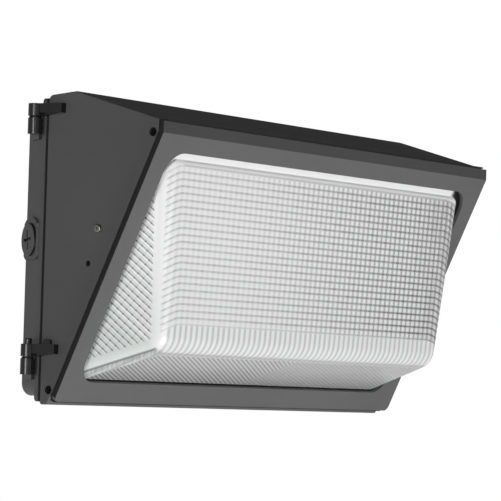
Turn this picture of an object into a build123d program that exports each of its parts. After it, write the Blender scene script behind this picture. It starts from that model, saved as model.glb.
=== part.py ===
from build123d import *
import os
from math import atan2, cos, hypot, pi, radians, sin, tan

os.makedirs("parts", exist_ok=True)

# Wall pack light: a wedge-shaped lighting head that swings open sideways on a shallow back pan.
# X runs to the right seen from the front, +Y into the wall, +Z up.
# The origin lies on the wall, behind the middle of the back pan.

# --- driving dimensions, millimetres ------------------------------------------------------

# back pan
pan_width = 457.0  # over the rim
pan_height = 214.0
pan_depth = 23.0
pan_side_slope = 30.0  # degrees that each side leans in towards the wall
pan_corner_radius = 9.5
pan_wall = 3.0
pan_back_rounding = 1.5
rim_thickness = 3.3
rim_corner_radius = 3.0
rim_top = 116.0
rim_bottom = -111.3
rim_inner_inset = 3.5  # rim outline to the pan's hollow
seal_inset = 1.0  # rim outline to the seal
seal_width = 4.5
seal_gap = 0.3
seal_corner_radii = (2.5, 2.0)  # outer, inner

# door housing and its slanted face
housing_wall = 3.0
housing_back_rounding = 4.0  # upper and lower rear corners, side view
housing_front_rounding = 1.5
housing_edge_rounding = 1.2
housing_bottom = -113.4
housing_back_top = 118.0
ridge_depth = 54.0
ridge_height = 120.4
brow_setback = 7.0  # front end of the sloping top, behind the face's top edge
brow_rise = 11.0  # and above it
face_top_depth = 138.0
face_top_height = 87.0
face_bottom_depth = 44.5
face_bottom_height = -111.0
door_gap = 1.8  # rim to door housing
opening_setback = 7.0  # face to the housing's slanted front edge
opening_overshoot = 20.0  # cuts run this far past the open front
brow_seal_top_gap = 0.6
brow_seal_clearance = 0.4  # to the frame's strip

# lens frame
frame_overhang = 3.8  # each side, past the housing
frame_thickness = 3.0
frame_corner_radius = 5.0
brow_strip_height = 8.7
brow_strip_thickness = 2.2
brow_strip_lean = 0.0  # degrees from upright
brow_strip_roots = (1.2, 3.0)  # along the face, back and middle of the strip's foot
window_side_margin = 15.5
window_top_margin = 13.8
window_bottom_margin = 16.6
window_corner_radius = 18.0
skirt_depth = 15.2  # face to the skirt's inner end
skirt_thickness = 2.0
skirt_clearance = 0.4
skirt_end_margin = 1.2  # from the face's ends, along the slope
frame_screw_depth = 11.2  # behind the face
frame_screw_margin = 4.2  # from the face's ends, along the slope
frame_screw_recess_radius = 3.3
frame_screw_recess_depth = 4.0
frame_screw_recess_floor = 1.6  # wall left under a side screw's head
frame_screw_radius = 2.0
frame_screw_head_height = 2.2
frame_screw_head_clearance = 0.3
frame_screw_tip_gap = 0.5
frame_screw_slot = (3.6, 0.9, 1.2)  # length, width and depth
frame_screw_slot_turn = 20.0
frame_pad_height = 3.0  # skirt thickening under a side screw
frame_pad_wall = 1.8  # round that screw
frame_seal_inset = 1.5
frame_seal_drop = 2.0  # past the face's lower end
frame_seal_clearance = 0.1

# refractor
flange_margin = 3.5  # past the window
flange_thickness = 4.0
glass_wall = 4.0
lens_gasket_thickness = 1.5
lens_gasket_inset = 0.5
clip_post_radius = 1.9
clip_post_gap = 0.3  # flange to post
clip_edge_inset = 0.1
clip_screw_radius = 1.1
clip_thickness = 1.2
clip_length = 14.0
clip_width = 9.0
clip_spacing = 66.0
clip_screw_head_height = 1.6
bulge_base_gap = 4.5  # window edge to the bulge
bulge_top_drop = 14.0  # below the face's top edge
bulge_top_setback = 10.8  # behind the face's top edge
bulge_front_lean = 4.4  # degrees, bottom nearer to the wall
bulge_bottom_slope = 18.0  # degrees below level, towards the wall
bulge_bottom_gap = 5.17  # window's lower edge to the bottom face, along the slope
bulge_side_draft = 17.0
bulge_upright_radius = 13.6
bulge_keel_radius = 17.0  # front face to bottom face
bulge_corner_margin = 1.5  # rounded upper corners start this far outside the sides
bulge_crown_radius = 6.0  # front and sides to the top

# hinges
hinge_offset = 6.0  # pin axis outside the rim
hinge_y = -20.5
hinge_tops = {"upper": 111.4, "lower": -68.5}  # top of each door arm
knuckle_radius = 5.4
knuckle_height = 9.3
arm_height = 7.1
arm_end_depth = 44.6
arm_thickness = 5.5
arm_side_clearance = 0.6
arm_knuckle_rounding = 0.5
lift_tab_hinges = ("lower",)  # which door arm has the small tab on top
lift_tab_start = 31.2  # depth of the tab's rear end
lift_tab_length = 7.6
lift_tab_height = 4.2
lift_tab_thickness = 2.5
barrel_height = 12.0
knuckle_gap = 1.6  # arm knuckle to barrel
pin_radius = 2.0
pin_running_clearance = 0.05
pin_head_radius = 2.9
pin_head_height = 4.2
pin_head_rounding = 0.6
pin_top_rises = {"upper": -0.4, "lower": 0.3}  # above the arm
hinge_washer_inset = 0.8
hinge_washer_gap = 0.3
hinge_foot_setback = 0.4
hinge_foot_thickness = 2.5
hinge_foot_length = 15.0
hinge_foot_drop = 3.5  # foot below the barrel
barrel_web_reach = (4.0, 7.0)  # inwards and towards the wall, from the foot's front
arm_step_gap = 0.5
arm_root_offset = 1.5
gusset_setback = 7.0
gusset_inset = 1.2

# closing screws on the right side
latch_offset = 9.0  # screw axis outside the rim
latch_heights = {"upper": 62.0, "lower": -62.0}
ear_radius = 7.5
ear_thickness = 8.0
pan_ear_root = 4.0  # reach into the rim
door_ear_root = 2.0
latch_screw_radius = 2.4
latch_head_radius = 4.5
latch_head_height = 4.0
latch_head_rounding = 1.2
latch_tip_chamfer = 0.5
latch_washer_thickness = 1.0
latch_washer_overhang = 0.6
latch_shank_end = 18.8  # depth of the screws' tips when closed
latch_hole_clearance = 0.35
latch_washer_clearance = 0.08
latch_recess_length = 5.6
latch_recess_width = 1.3
latch_recess_depth = 2.0

# conduit plugs
plug_height = 10.0
plug_head_radius = 12.5
plug_head_thickness = 2.3
plug_head_rounding = 0.6
plug_shank_radius = 10.4
plug_shank_length = 9.0
plug_hole_overrun = 8.0  # hole beyond the plug's inner end
plug_slot_length = 14.8
plug_slot_width = 2.2
plug_slot_depth = 1.3
plug_pad_height = 2.0
plug_pad_radius = 17.3
plug_pad_below = 15.0
plug_pad_width = 25.0
plug_boss_radius = 12.8
plug_turns = {"left": 6.0, "right": 21.0}  # how far each cross slot is turned, degrees

# wall fixing and wire entry
fixing_x = 192.0
fixing_z = 80.0
fixing_hole_radius = 3.5
wire_entry_radius = 11.1
wire_entry_height = -38.0

# light engine
tray_half_width = 178.0
tray_top = 96.0
tray_bottom = -84.0
tray_thickness = 2.0
tray_return = 8.0
tray_fold_margin = 10.0
tray_corner_radius = 4.0
tray_screw_bite = 10.0
tray_back_depth = 31.0
tray_post_x = 166.0
tray_post_top = 82.0
tray_post_bottom = -70.0
tray_post_flats = 8.0
pan_boss_height = 7.0
pan_boss_radius = 5.0
pan_boss_floor = 1.0  # left under the boss's hole, in front of the pan's wall
screw_hole_clearance = 0.2
small_screw_radius = 1.5
small_head_radius = 3.0
small_head_height = 2.0
small_head_rounding = 0.8
pad_thickness = 0.5
pad_margin = 12.0  # board edge to the thermal pad's edge
board_thickness = 1.6
board_corner_radius = 3.0
board_width = 300.0
board_height = 92.0
board_centre_z = 24.0
emitter_columns = 12
emitter_rows = 3
emitter_side = 3.5
emitter_height = 0.8
emitter_pitch_x = 23.0
emitter_pitch_z = 26.0
board_screw_inset = 7.0
connector_length = 12.0
connector_height = 7.0
connector_thickness = 4.5
connector_inset = 1.5  # from the board's lower edge
grommet_x = -128.0
grommet_z = -52.0
grommet_radius = 6.0
grommet_wall = 2.2
grommet_lip = 1.5
grommet_lip_thickness = 1.0

# electrical gear in the pan
driver_length = 150.0
driver_height = 42.0
driver_thickness = 24.0
driver_corner_radius = 2.5
case_edge_rounding = 1.5
driver_x = -78.0
driver_z = 58.0
surge_length = 46.0
surge_height = 30.0
surge_thickness = 20.0
surge_corner_radius = 3.0
surge_x = 74.0
surge_z = 58.0
terminal_length = 36.0
terminal_height = 16.0
terminal_thickness = 17.0
terminal_x = 80.0
terminal_z = -2.0
driver_tab_length = 10.0
driver_tab_height = 16.0
driver_tab_thickness = 1.5
terminal_barrier_height = 2.0
terminal_barrier_thickness = 1.2
terminal_well_radius = 3.2
terminal_well_depth = 3.0
terminal_screw_radius = 2.8
terminal_screw_height = 2.2
ground_x = 30.0
ground_z = -44.0
ground_screw_size = 4.5
ground_screw_height = 3.2
ground_lug_radius = 5.5
ground_lug_thickness = 1.0
ground_lug_length = 14.0
ground_lug_width = 4.4
ground_wire_gap = 2.0  # screw to the wire's end
wire_radius = 1.3
wire_pair_spacing = 3.2  # the two board wires in the grommet
wire_bend_limit = 7.0
wire_depth_near_wall = 8.0  # in front of the pan's back
wire_depth_middle = 13.0
wire_depth_front = 17.0
line_rise = 18.0
line_reach = 23.0
line_landing = 8.0  # above the power supply's middle
neutral_rise = 26.0
neutral_reach = 13.0
neutral_landing = -6.0
ground_drop = 14.0
plus_reach = 12.0
minus_reach = 7.0
board_wire_landing = 8.0
surge_lead_offsets = (-2.0, 4.0)  # from the line and neutral poles
surge_lead_depth = 4.0

# reflector and its fixings in the door
reflector_sheet = 1.2
reflector_side_gap = 9.0  # from the housing's inner wall
reflector_front_setback = 11.5  # behind the face
reflector_back_depth = 40.0
reflector_top_gap = 11.0  # below the housing's back edge
reflector_front_margin = 8.5  # from the face's top end, along the slope
side_screw_along = 88.16  # from the face's top end, along the slope
side_screw_behind = 24.17  # the face
side_screw_tip = 1.5  # past the reflector's sheet
side_screw_head_rounding = 0.9
side_screw_slot = (2.8, 0.7, 1.0)  # length, width and depth
side_screw_slot_turn = 30.0
spare_hole_along = 115.39
spare_hole_behind = 20.93
spare_hole_radius = 2.2
side_pillar_radius = 5.0

# --- places worked out from the driving dimensions ----------------------------------------

rim_back = -pan_depth
rim_front = -(pan_depth + rim_thickness)
door_back = rim_front - door_gap
half_width = pan_width / 2
hinge_x = -(half_width + hinge_offset)
latch_x = half_width + latch_offset
brow_depth = face_top_depth - brow_setback
brow_height = face_top_height + brow_rise
bulge_top_height = face_top_height - bulge_top_drop
bulge_front_depth = face_top_depth - bulge_top_setback
window_width = pan_width - 2 * window_side_margin
reflector_half_width = half_width - housing_wall - reflector_side_gap
reflector_back_top = housing_back_top - reflector_top_gap
pan_back_half_width = half_width - pan_depth * tan(radians(pan_side_slope))

face_run = face_top_depth - face_bottom_depth
face_rise = face_top_height - face_bottom_height
face_length = hypot(face_run, face_rise)
face_tilt = atan2(face_run, face_rise)
face_middle = (0, -(face_top_depth + face_bottom_depth) / 2, (face_top_height + face_bottom_height) / 2)
face = Plane(origin=face_middle, x_dir=(1, 0, 0), z_dir=(0, -cos(face_tilt), -sin(face_tilt)))
window_height = face_length - window_top_margin - window_bottom_margin
window_middle = (window_bottom_margin - window_top_margin) / 2

side_normal = Vector(-cos(radians(pan_side_slope)), sin(radians(pan_side_slope)), 0)
side_along = Vector(-sin(radians(pan_side_slope)), -cos(radians(pan_side_slope)), 0)
side_middle = Vector(-(pan_back_half_width + half_width) / 2, rim_back / 2, plug_height)


def slope_point(along, behind):
    """Side-view (y, z) of a point that lies `along` the face from its top end and `behind` it."""
    y = -face_top_depth + along * sin(face_tilt) + behind * cos(face_tilt)
    z = face_top_height - along * cos(face_tilt) + behind * sin(face_tilt)
    return (y, z)


def slope_at_depth(depth, behind):
    """Side-view point of the plane `behind` the face where it crosses a given depth."""
    along = (face_top_depth - depth - behind * cos(face_tilt)) / sin(face_tilt)
    return slope_point(along, behind)


def slope_at_height(height, behind):
    """Side-view point of the plane `behind` the face where it crosses a given height."""
    along = (face_top_height - height + behind * sin(face_tilt)) / cos(face_tilt)
    return slope_point(along, behind)


def brow_line(depth, below):
    """Side-view point of the sloping top at a given depth, moved down by `below`."""
    share = (depth - ridge_depth) / (brow_depth - ridge_depth)
    return (-depth, ridge_height + share * (brow_height - ridge_height) - below)


def write(name, piece):
    piece.label = name
    export_step(piece, f"parts/{name}.step")


# --- back pan -----------------------------------------------------------------------------

with BuildPart() as rear_housing:
    with BuildSketch(Plane.XY.offset(-pan_height / 2)):
        with BuildLine():
            Polyline(
                (-pan_back_half_width, 0),
                (-half_width, rim_back),
                (half_width, rim_back),
                (pan_back_half_width, 0),
                close=True,
            )
        make_face()
    extrude(amount=pan_height)
    slanting = [e for e in rear_housing.edges() if abs((e @ 1 - e @ 0).X) > 1 and abs((e @ 1 - e @ 0).Y) > 1]
    fillet(slanting, pan_corner_radius)
    fillet(rear_housing.faces().sort_by(Axis.Y)[-1].edges(), pan_back_rounding)
    with BuildSketch(Plane.XZ.offset(pan_depth)):
        with Locations((0, (rim_top + rim_bottom) / 2)):
            RectangleRounded(pan_width, rim_top - rim_bottom, rim_corner_radius)
    extrude(amount=rim_thickness)
    # ears that take the closing screws
    with BuildSketch(Plane.XZ.offset(-rim_front)):
        for height in latch_heights.values():
            with Locations((latch_x, height)):
                Circle(ear_radius)
            with Locations(((latch_x + half_width - pan_ear_root) / 2, height)):
                Rectangle(latch_x - half_width + pan_ear_root, 2 * ear_radius)
    extrude(amount=-ear_thickness)
    # hollow
    hollow_slope = tan(radians(pan_side_slope))
    hollow_back = pan_back_half_width + pan_wall * hollow_slope - pan_wall / cos(radians(pan_side_slope))
    hollow_front = half_width - rim_inner_inset
    hollow_height = pan_height - 2 * pan_wall
    with BuildSketch(Plane.XY.offset(-hollow_height / 2)):
        with BuildLine():
            Polyline(
                (-hollow_back, -pan_wall),
                (-hollow_front, rim_back),
                (-hollow_front, door_back),
                (hollow_front, door_back),
                (hollow_front, rim_back),
                (hollow_back, -pan_wall),
                close=True,
            )
        make_face()
    extrude(amount=hollow_height, mode=Mode.SUBTRACT)
    # raised pads and inner bosses of the conduit entries, one each side
    for side in (1, -1):
        across = Vector(side_normal.X * side, side_normal.Y, 0)
        along = Vector(side_along.X * side, side_along.Y, 0)
        pad_middle = Vector(side_middle.X * side, side_middle.Y, side_middle.Z)
        pad_plane = Plane(origin=pad_middle, x_dir=along, z_dir=across)
        with BuildSketch(pad_plane):
            Circle(plug_pad_radius)
            with Locations((0, side * (plug_pad_radius - plug_pad_below) / 2)):
                Rectangle(plug_pad_width, plug_pad_radius + plug_pad_below, mode=Mode.INTERSECT)
        extrude(amount=plug_pad_height)
        with BuildSketch(pad_plane):
            Circle(plug_boss_radius)
        extrude(amount=-(plug_shank_length - plug_pad_height))
        with BuildSketch(pad_plane.offset(plug_pad_height)):
            Circle(plug_shank_radius)
        extrude(amount=-(plug_shank_length + plug_hole_overrun), mode=Mode.SUBTRACT)
    # bosses under the light engine's posts
    boss_heights = (tray_post_top, tray_post_bottom)
    with BuildSketch(Plane.XZ.offset(pan_wall)):
        with Locations([(x, z) for x in (-tray_post_x, tray_post_x) for z in boss_heights]):
            Circle(pan_boss_radius)
    extrude(amount=pan_boss_height)
    with BuildSketch(Plane.XZ.offset(pan_wall + pan_boss_floor)):
        with Locations([(x, z) for x in (-tray_post_x, tray_post_x) for z in boss_heights]):
            Circle(small_screw_radius)
    extrude(amount=pan_boss_height, mode=Mode.SUBTRACT)
    # wall fixing holes and wire entry
    with BuildSketch(Plane.XZ):
        with Locations([(x, z) for x in (-fixing_x, fixing_x) for z in (-fixing_z, fixing_z)]):
            Circle(fixing_hole_radius)
        with Locations((0, wire_entry_height)):
            Circle(wire_entry_radius)
    extrude(amount=pan_wall, mode=Mode.SUBTRACT)
    # holes for the closing screws
    with BuildSketch(Plane.XZ.offset(-rim_front)):
        with Locations([(latch_x, height) for height in latch_heights.values()]):
            Circle(latch_screw_radius + latch_hole_clearance)
    extrude(amount=-ear_thickness, mode=Mode.SUBTRACT)
write("rear_housing", rear_housing.part)

with BuildPart() as door_gasket:
    with BuildSketch(Plane.XZ.offset(-rim_front)):
        with Locations((0, (rim_top + rim_bottom) / 2)):
            RectangleRounded(
                pan_width - 2 * seal_inset,
                rim_top - rim_bottom - 2 * seal_inset,
                seal_corner_radii[0],
            )
            RectangleRounded(
                pan_width - 2 * (seal_inset + seal_width),
                rim_top - rim_bottom - 2 * (seal_inset + seal_width),
                seal_corner_radii[1],
                mode=Mode.SUBTRACT,
            )
    extrude(amount=door_gap - seal_gap)
write("door_gasket", door_gasket.part)

# --- conduit plugs ------------------------------------------------------------------------

for name, side in (("left", 1), ("right", -1)):
    across = Vector(side_normal.X * side, side_normal.Y, 0)
    along = Vector(side_along.X * side, side_along.Y, 0)
    middle = Vector(side_middle.X * side, side_middle.Y, side_middle.Z)
    seat = Plane(origin=middle + across * plug_pad_height, x_dir=along, z_dir=across)
    with BuildPart() as conduit_plug:
        with BuildSketch(seat):
            Circle(plug_head_radius)
        extrude(amount=plug_head_thickness)
        rims = conduit_plug.edges().filter_by(GeomType.CIRCLE).sort_by(Axis((0, 0, 0), across))
        fillet(rims[-1:], plug_head_rounding)
        with BuildSketch(seat):
            Circle(plug_shank_radius)
        extrude(amount=-plug_shank_length)
        with BuildSketch(seat.offset(plug_head_thickness)):
            Rectangle(plug_slot_width, plug_slot_length, rotation=plug_turns[name])
            Rectangle(plug_slot_length, plug_slot_width, rotation=plug_turns[name])
        extrude(amount=-plug_slot_depth, mode=Mode.SUBTRACT)
    write(f"conduit_plug_{name}", conduit_plug.part)

# --- hinges -------------------------------------------------------------------------------

foot_start = Vector(-half_width, rim_back + hinge_foot_setback, 0)
foot_end = foot_start - side_along * hinge_foot_length
foot_out = side_normal * hinge_foot_thickness
foot_front = (foot_start.X + foot_out.X, foot_start.Y + foot_out.Y)

for name, arm_top in hinge_tops.items():
    knuckle_bottom = arm_top - knuckle_height
    barrel_top = knuckle_bottom - knuckle_gap
    barrel_bottom = barrel_top - barrel_height
    foot_bottom = barrel_bottom - hinge_foot_drop
    # half on the pan: a barrel on a foot that lies along the sloping side
    with BuildPart() as hinge_base:
        with BuildSketch(Plane.XY.offset(foot_bottom)):
            with BuildLine():
                Polyline(
                    (foot_start.X, foot_start.Y),
                    (foot_end.X, foot_end.Y),
                    (foot_end.X + foot_out.X, foot_end.Y + foot_out.Y),
                    foot_front,
                    close=True,
                )
            make_face()
        extrude(amount=barrel_top - foot_bottom)
        with BuildSketch(Plane.XY.offset(barrel_bottom)):
            with Locations((hinge_x, hinge_y)):
                Circle(knuckle_radius)
            with BuildLine():
                Polyline(
                    (hinge_x, hinge_y),
                    foot_front,
                    (foot_front[0] + barrel_web_reach[0], foot_front[1] + barrel_web_reach[1]),
                    (hinge_x, hinge_y + knuckle_radius),
                    close=True,
                )
            make_face()
        extrude(amount=barrel_height)
        with Locations((hinge_x, hinge_y, barrel_top)):
            Hole(pin_radius)
    write(f"hinge_base_{name}", hinge_base.part)

    # half on the door: a knuckle and an arm that lies along the housing's side
    with BuildPart() as hinge_arm:
        with BuildSketch(Plane.XY.offset(knuckle_bottom)):
            with Locations((hinge_x, hinge_y)):
                Circle(knuckle_radius)
        extrude(amount=knuckle_height)
        with BuildSketch(Plane.XY.offset(arm_top - arm_height)):
            with BuildLine():
                Polyline(
                    (hinge_x, hinge_y),
                    (-half_width - arm_side_clearance, hinge_y),
                    (-half_width - arm_side_clearance, door_back - arm_step_gap),
                    (-half_width, door_back - arm_step_gap),
                    (-half_width, -arm_end_depth),
                    (-half_width - arm_thickness, -arm_end_depth),
                    (hinge_x - arm_root_offset, hinge_y - 0.9 * knuckle_radius),
                    close=True,
                )
            make_face()
        extrude(amount=arm_height)
        # gusset from the knuckle's foot up to the arm
        with BuildSketch(Plane.YZ.offset(-half_width - arm_side_clearance)):
            with BuildLine():
                Polyline(
                    (hinge_y, knuckle_bottom),
                    (hinge_y, arm_top - arm_height),
                    (-arm_end_depth + gusset_setback, arm_top - arm_height),
                    (hinge_y - knuckle_radius, knuckle_bottom),
                    close=True,
                )
            make_face()
        extrude(amount=-(arm_thickness - arm_side_clearance - gusset_inset))
        # lifting tab on top of the arm
        if name in lift_tab_hinges:
            with BuildSketch(Plane.YZ.offset(-half_width)):
                with BuildLine():
                    Polyline(
                        (-lift_tab_start, arm_top),
                        (-lift_tab_start - 0.1 * lift_tab_length, arm_top + 0.8 * lift_tab_height),
                        (-lift_tab_start - 0.4 * lift_tab_length, arm_top + lift_tab_height),
                        (-lift_tab_start - 0.9 * lift_tab_length, arm_top + 0.8 * lift_tab_height),
                        (-lift_tab_start - lift_tab_length, arm_top),
                        close=True,
                    )
                make_face()
            extrude(amount=-lift_tab_thickness)
        with Locations((hinge_x, hinge_y, arm_top)):
            Hole(pin_radius + pin_running_clearance)
        arm_face = hinge_arm.faces().filter_by(Axis.Z).sort_by(Axis.Z)[-1]
        knuckle_rim = arm_face.edges().filter_by(GeomType.CIRCLE).sort_by(SortBy.RADIUS)[-1:]
        fillet(knuckle_rim, arm_knuckle_rounding)
    write(f"hinge_arm_{name}", hinge_arm.part)

    # pin, pressed into the barrel and running in the arm
    with BuildPart() as hinge_pin:
        with BuildSketch(Plane.XY.offset(barrel_bottom)):
            with Locations((hinge_x, hinge_y)):
                Circle(pin_radius)
        pin_top = arm_top + pin_top_rises[name]
        extrude(amount=pin_top - barrel_bottom)
        if name == "lower":
            with BuildSketch(Plane.XY.offset(pin_top)):
                with Locations((hinge_x, hinge_y)):
                    Circle(pin_head_radius)
            extrude(amount=pin_head_height - pin_top_rises[name])
            fillet(hinge_pin.edges().sort_by(Axis.Z)[-1:], pin_head_rounding)
    write(f"hinge_pin_{name}", hinge_pin.part)

with BuildPart() as hinge_washers:
    for arm_top in hinge_tops.values():
        with BuildSketch(Plane.XY.offset(arm_top - knuckle_height - knuckle_gap)):
            with Locations((hinge_x, hinge_y)):
                Circle(knuckle_radius - hinge_washer_inset)
                Circle(pin_radius, mode=Mode.SUBTRACT)
        extrude(amount=knuckle_gap - hinge_washer_gap)
write("hinge_washers", hinge_washers.part)

# --- door housing -------------------------------------------------------------------------

slope_foot = slope_at_height(housing_bottom, opening_setback)
slope_head = slope_at_depth(brow_depth, opening_setback)
inner_half_width = half_width - housing_wall
frame_screw_alongs = (frame_screw_margin, face_length - frame_screw_margin)
frame_screw_places = [slope_point(along, frame_screw_depth) for along in frame_screw_alongs]
recess_boss_radius = frame_screw_depth - opening_setback
recess_reach = frame_screw_recess_depth + frame_screw_recess_floor
skirt_half_width = half_width - recess_reach - skirt_clearance
side_screw_place = slope_point(side_screw_along, side_screw_behind)
spare_hole_place = slope_point(spare_hole_along, spare_hole_behind)
pillar_length = housing_wall + reflector_side_gap

with BuildPart() as door_housing:
    with BuildSketch(Plane.YZ.offset(-half_width)):
        with BuildLine():
            Polyline(
                (door_back, housing_bottom),
                (door_back, housing_back_top),
                (-ridge_depth, ridge_height),
                (-brow_depth, brow_height),
                slope_head,
                slope_foot,
                close=True,
            )
        make_face()
        fillet(vertices().sort_by(Axis.Y)[-2:], housing_back_rounding)
        fillet(vertices().sort_by(Axis.Y)[:2], housing_front_rounding)
    extrude(amount=pan_width)
    sides = door_housing.faces().filter_by(Axis.X)
    fillet(sides.edges(), housing_edge_rounding)
    # hollow, open at the back and at the slanted front
    with BuildSketch(Plane.YZ.offset(-inner_half_width)):
        with BuildLine():
            Polyline(
                (rim_front, housing_bottom + housing_wall),
                (rim_front, housing_back_top - housing_wall),
                (-ridge_depth, ridge_height - housing_wall),
                brow_line(brow_depth + opening_overshoot, 1.05 * housing_wall),
                (-brow_depth - opening_overshoot, housing_bottom + housing_wall),
                close=True,
            )
        make_face()
    extrude(amount=2 * inner_half_width, mode=Mode.SUBTRACT)
    for side in (-1, 1):
        # bosses and recesses of the frame screws
        outer = Plane(origin=(side * half_width, 0, 0), x_dir=(0, 1, 0), z_dir=(1, 0, 0))
        with BuildSketch(outer):
            with Locations(frame_screw_places):
                Circle(recess_boss_radius)
        extrude(amount=-side * recess_reach)
        with BuildSketch(outer):
            with Locations(frame_screw_places):
                Circle(frame_screw_recess_radius)
        extrude(amount=-side * frame_screw_recess_depth, mode=Mode.SUBTRACT)
        with BuildSketch(outer):
            with Locations(frame_screw_places):
                Circle(frame_screw_radius + screw_hole_clearance)
        extrude(amount=-side * recess_reach, mode=Mode.SUBTRACT)
        # pillars that carry the reflector, one with a screw and one spare
        with BuildSketch(outer):
            with Locations(side_screw_place, spare_hole_place):
                Circle(side_pillar_radius)
        extrude(amount=-side * pillar_length)
        with BuildSketch(outer):
            with Locations(side_screw_place):
                Circle(small_screw_radius)
            with Locations(spare_hole_place):
                Circle(spare_hole_radius)
        extrude(amount=-side * pillar_length, mode=Mode.SUBTRACT)
    # ears of the closing screws
    with BuildSketch(Plane.XZ.offset(-door_back)):
        for height in latch_heights.values():
            with Locations((latch_x, height)):
                Circle(ear_radius)
            with Locations(((latch_x + half_width - door_ear_root) / 2, height)):
                Rectangle(latch_x - half_width + door_ear_root, 2 * ear_radius)
    extrude(amount=ear_thickness)
    with BuildSketch(Plane.XZ.offset(-door_back)):
        with Locations([(latch_x, height) for height in latch_heights.values()]):
            Circle(latch_screw_radius + latch_hole_clearance)
    extrude(amount=ear_thickness, mode=Mode.SUBTRACT)
write("door_housing", door_housing.part)

# --- lens frame ---------------------------------------------------------------------------

frame_width = pan_width + 2 * frame_overhang
strip_up = (sin(radians(brow_strip_lean)), cos(radians(brow_strip_lean)))
strip_in = (strip_up[1], -strip_up[0])
strip_foot = slope_point(0, 0)
strip_head = (
    strip_foot[0] + strip_up[0] * brow_strip_height,
    strip_foot[1] + strip_up[1] * brow_strip_height,
)
strip_back = (
    strip_head[0] + strip_in[0] * brow_strip_thickness,
    strip_head[1] + strip_in[1] * brow_strip_thickness,
)

flange_front = frame_thickness + lens_gasket_thickness
flange_back = flange_front + flange_thickness
flange_half_width = window_width / 2 + flange_margin
clip_x = flange_half_width + clip_post_radius + clip_post_gap
clip_places = [(side * clip_x, along) for side in (-1, 1) for along in (-clip_spacing, 0, clip_spacing)]

with BuildPart() as lens_frame:
    with BuildSketch(face):
        Rectangle(frame_width, face_length)
        fillet(vertices().group_by(Axis.Y)[0], frame_corner_radius)
        with Locations((0, window_middle)):
            RectangleRounded(window_width, window_height, window_corner_radius, mode=Mode.SUBTRACT)
    extrude(amount=-frame_thickness)
    # upright strip above the face, in front of the brow
    with BuildSketch(Plane.YZ.offset(-frame_width / 2)):
        with BuildLine():
            Polyline(
                strip_foot,
                strip_head,
                strip_back,
                slope_point(brow_strip_roots[0], frame_thickness),
                slope_point(brow_strip_roots[1], frame_thickness / 2),
                close=True,
            )
        make_face()
    extrude(amount=frame_width)
    # skirt that slides into the housing, thicker where the side screws bite
    skirt_length = face_length - 2 * skirt_end_margin
    with BuildSketch(face.offset(-frame_thickness)):
        Rectangle(2 * skirt_half_width, skirt_length)
        Rectangle(
            2 * (skirt_half_width - skirt_thickness),
            skirt_length - 2 * skirt_thickness,
            mode=Mode.SUBTRACT,
        )
    extrude(amount=-(skirt_depth - frame_thickness))
    for side in (-1, 1):
        skirt_side = Plane(origin=(side * skirt_half_width, 0, 0), x_dir=(0, 1, 0), z_dir=(1, 0, 0))
        with BuildSketch(skirt_side):
            with Locations(frame_screw_places):
                Circle(frame_screw_radius + frame_pad_wall)
        extrude(amount=-side * (skirt_thickness + frame_pad_height))
        with BuildSketch(skirt_side):
            with Locations(frame_screw_places):
                Circle(frame_screw_radius)
        extrude(amount=-side * (skirt_thickness + frame_pad_height), mode=Mode.SUBTRACT)
    # posts for the lens clips
    with BuildSketch(face.offset(-frame_thickness)):
        with Locations(clip_places):
            Circle(clip_post_radius)
    extrude(amount=-(lens_gasket_thickness + flange_thickness))
    with BuildSketch(face.offset(-flange_back)):
        with Locations(clip_places):
            Circle(clip_screw_radius)
    extrude(amount=lens_gasket_thickness + flange_thickness, mode=Mode.SUBTRACT)
write("lens_frame", lens_frame.part)

# black seal between the frame and the housing's slanted edge: the dark line beside the face
with BuildPart() as frame_gasket:
    with BuildSketch(face.offset(-frame_thickness)):
        with Locations((0, -frame_seal_drop / 2)):
            Rectangle(pan_width - 2 * frame_seal_inset, face_length + frame_seal_drop)
        Rectangle(
            2 * (skirt_half_width + frame_seal_clearance),
            skirt_length + 2 * frame_seal_clearance,
            mode=Mode.SUBTRACT,
        )
    extrude(amount=-(opening_setback - frame_thickness))
    with BuildSketch(Plane.YZ.offset(-half_width)):
        with BuildLine():
            Polyline(
                slope_point(skirt_end_margin + brow_seal_clearance, 0),
                slope_point(skirt_end_margin + brow_seal_clearance, skirt_depth),
                slope_point(-opening_overshoot, skirt_depth),
                slope_point(-opening_overshoot, 0),
                close=True,
            )
        make_face()
    extrude(amount=pan_width, mode=Mode.SUBTRACT)
write("frame_gasket", frame_gasket.part)

# seal between the frame's strip and the brow, over the strip's top: the dark line above it
seal_foot_along = skirt_end_margin - brow_seal_clearance
seal_foot = slope_point(seal_foot_along, frame_thickness + brow_seal_clearance)
nose_behind = brow_setback / cos(face_tilt)
with BuildPart() as brow_seal:
    with BuildSketch(Plane.YZ.offset(-(half_width - frame_seal_inset))):
        with BuildLine():
            Polyline(
                (-brow_depth, brow_height - brow_seal_top_gap),
                (-brow_depth, slope_point(seal_foot_along, nose_behind)[1]),
                seal_foot,
                (strip_back[0] + brow_seal_clearance, strip_back[1] + brow_seal_clearance),
                (strip_head[0] + brow_seal_clearance, strip_head[1] + brow_seal_clearance),
                (strip_head[0] + brow_seal_clearance, brow_height - brow_seal_top_gap),
                close=True,
            )
        make_face()
    extrude(amount=pan_width - 2 * frame_seal_inset)
write("brow_seal", brow_seal.part)

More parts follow.
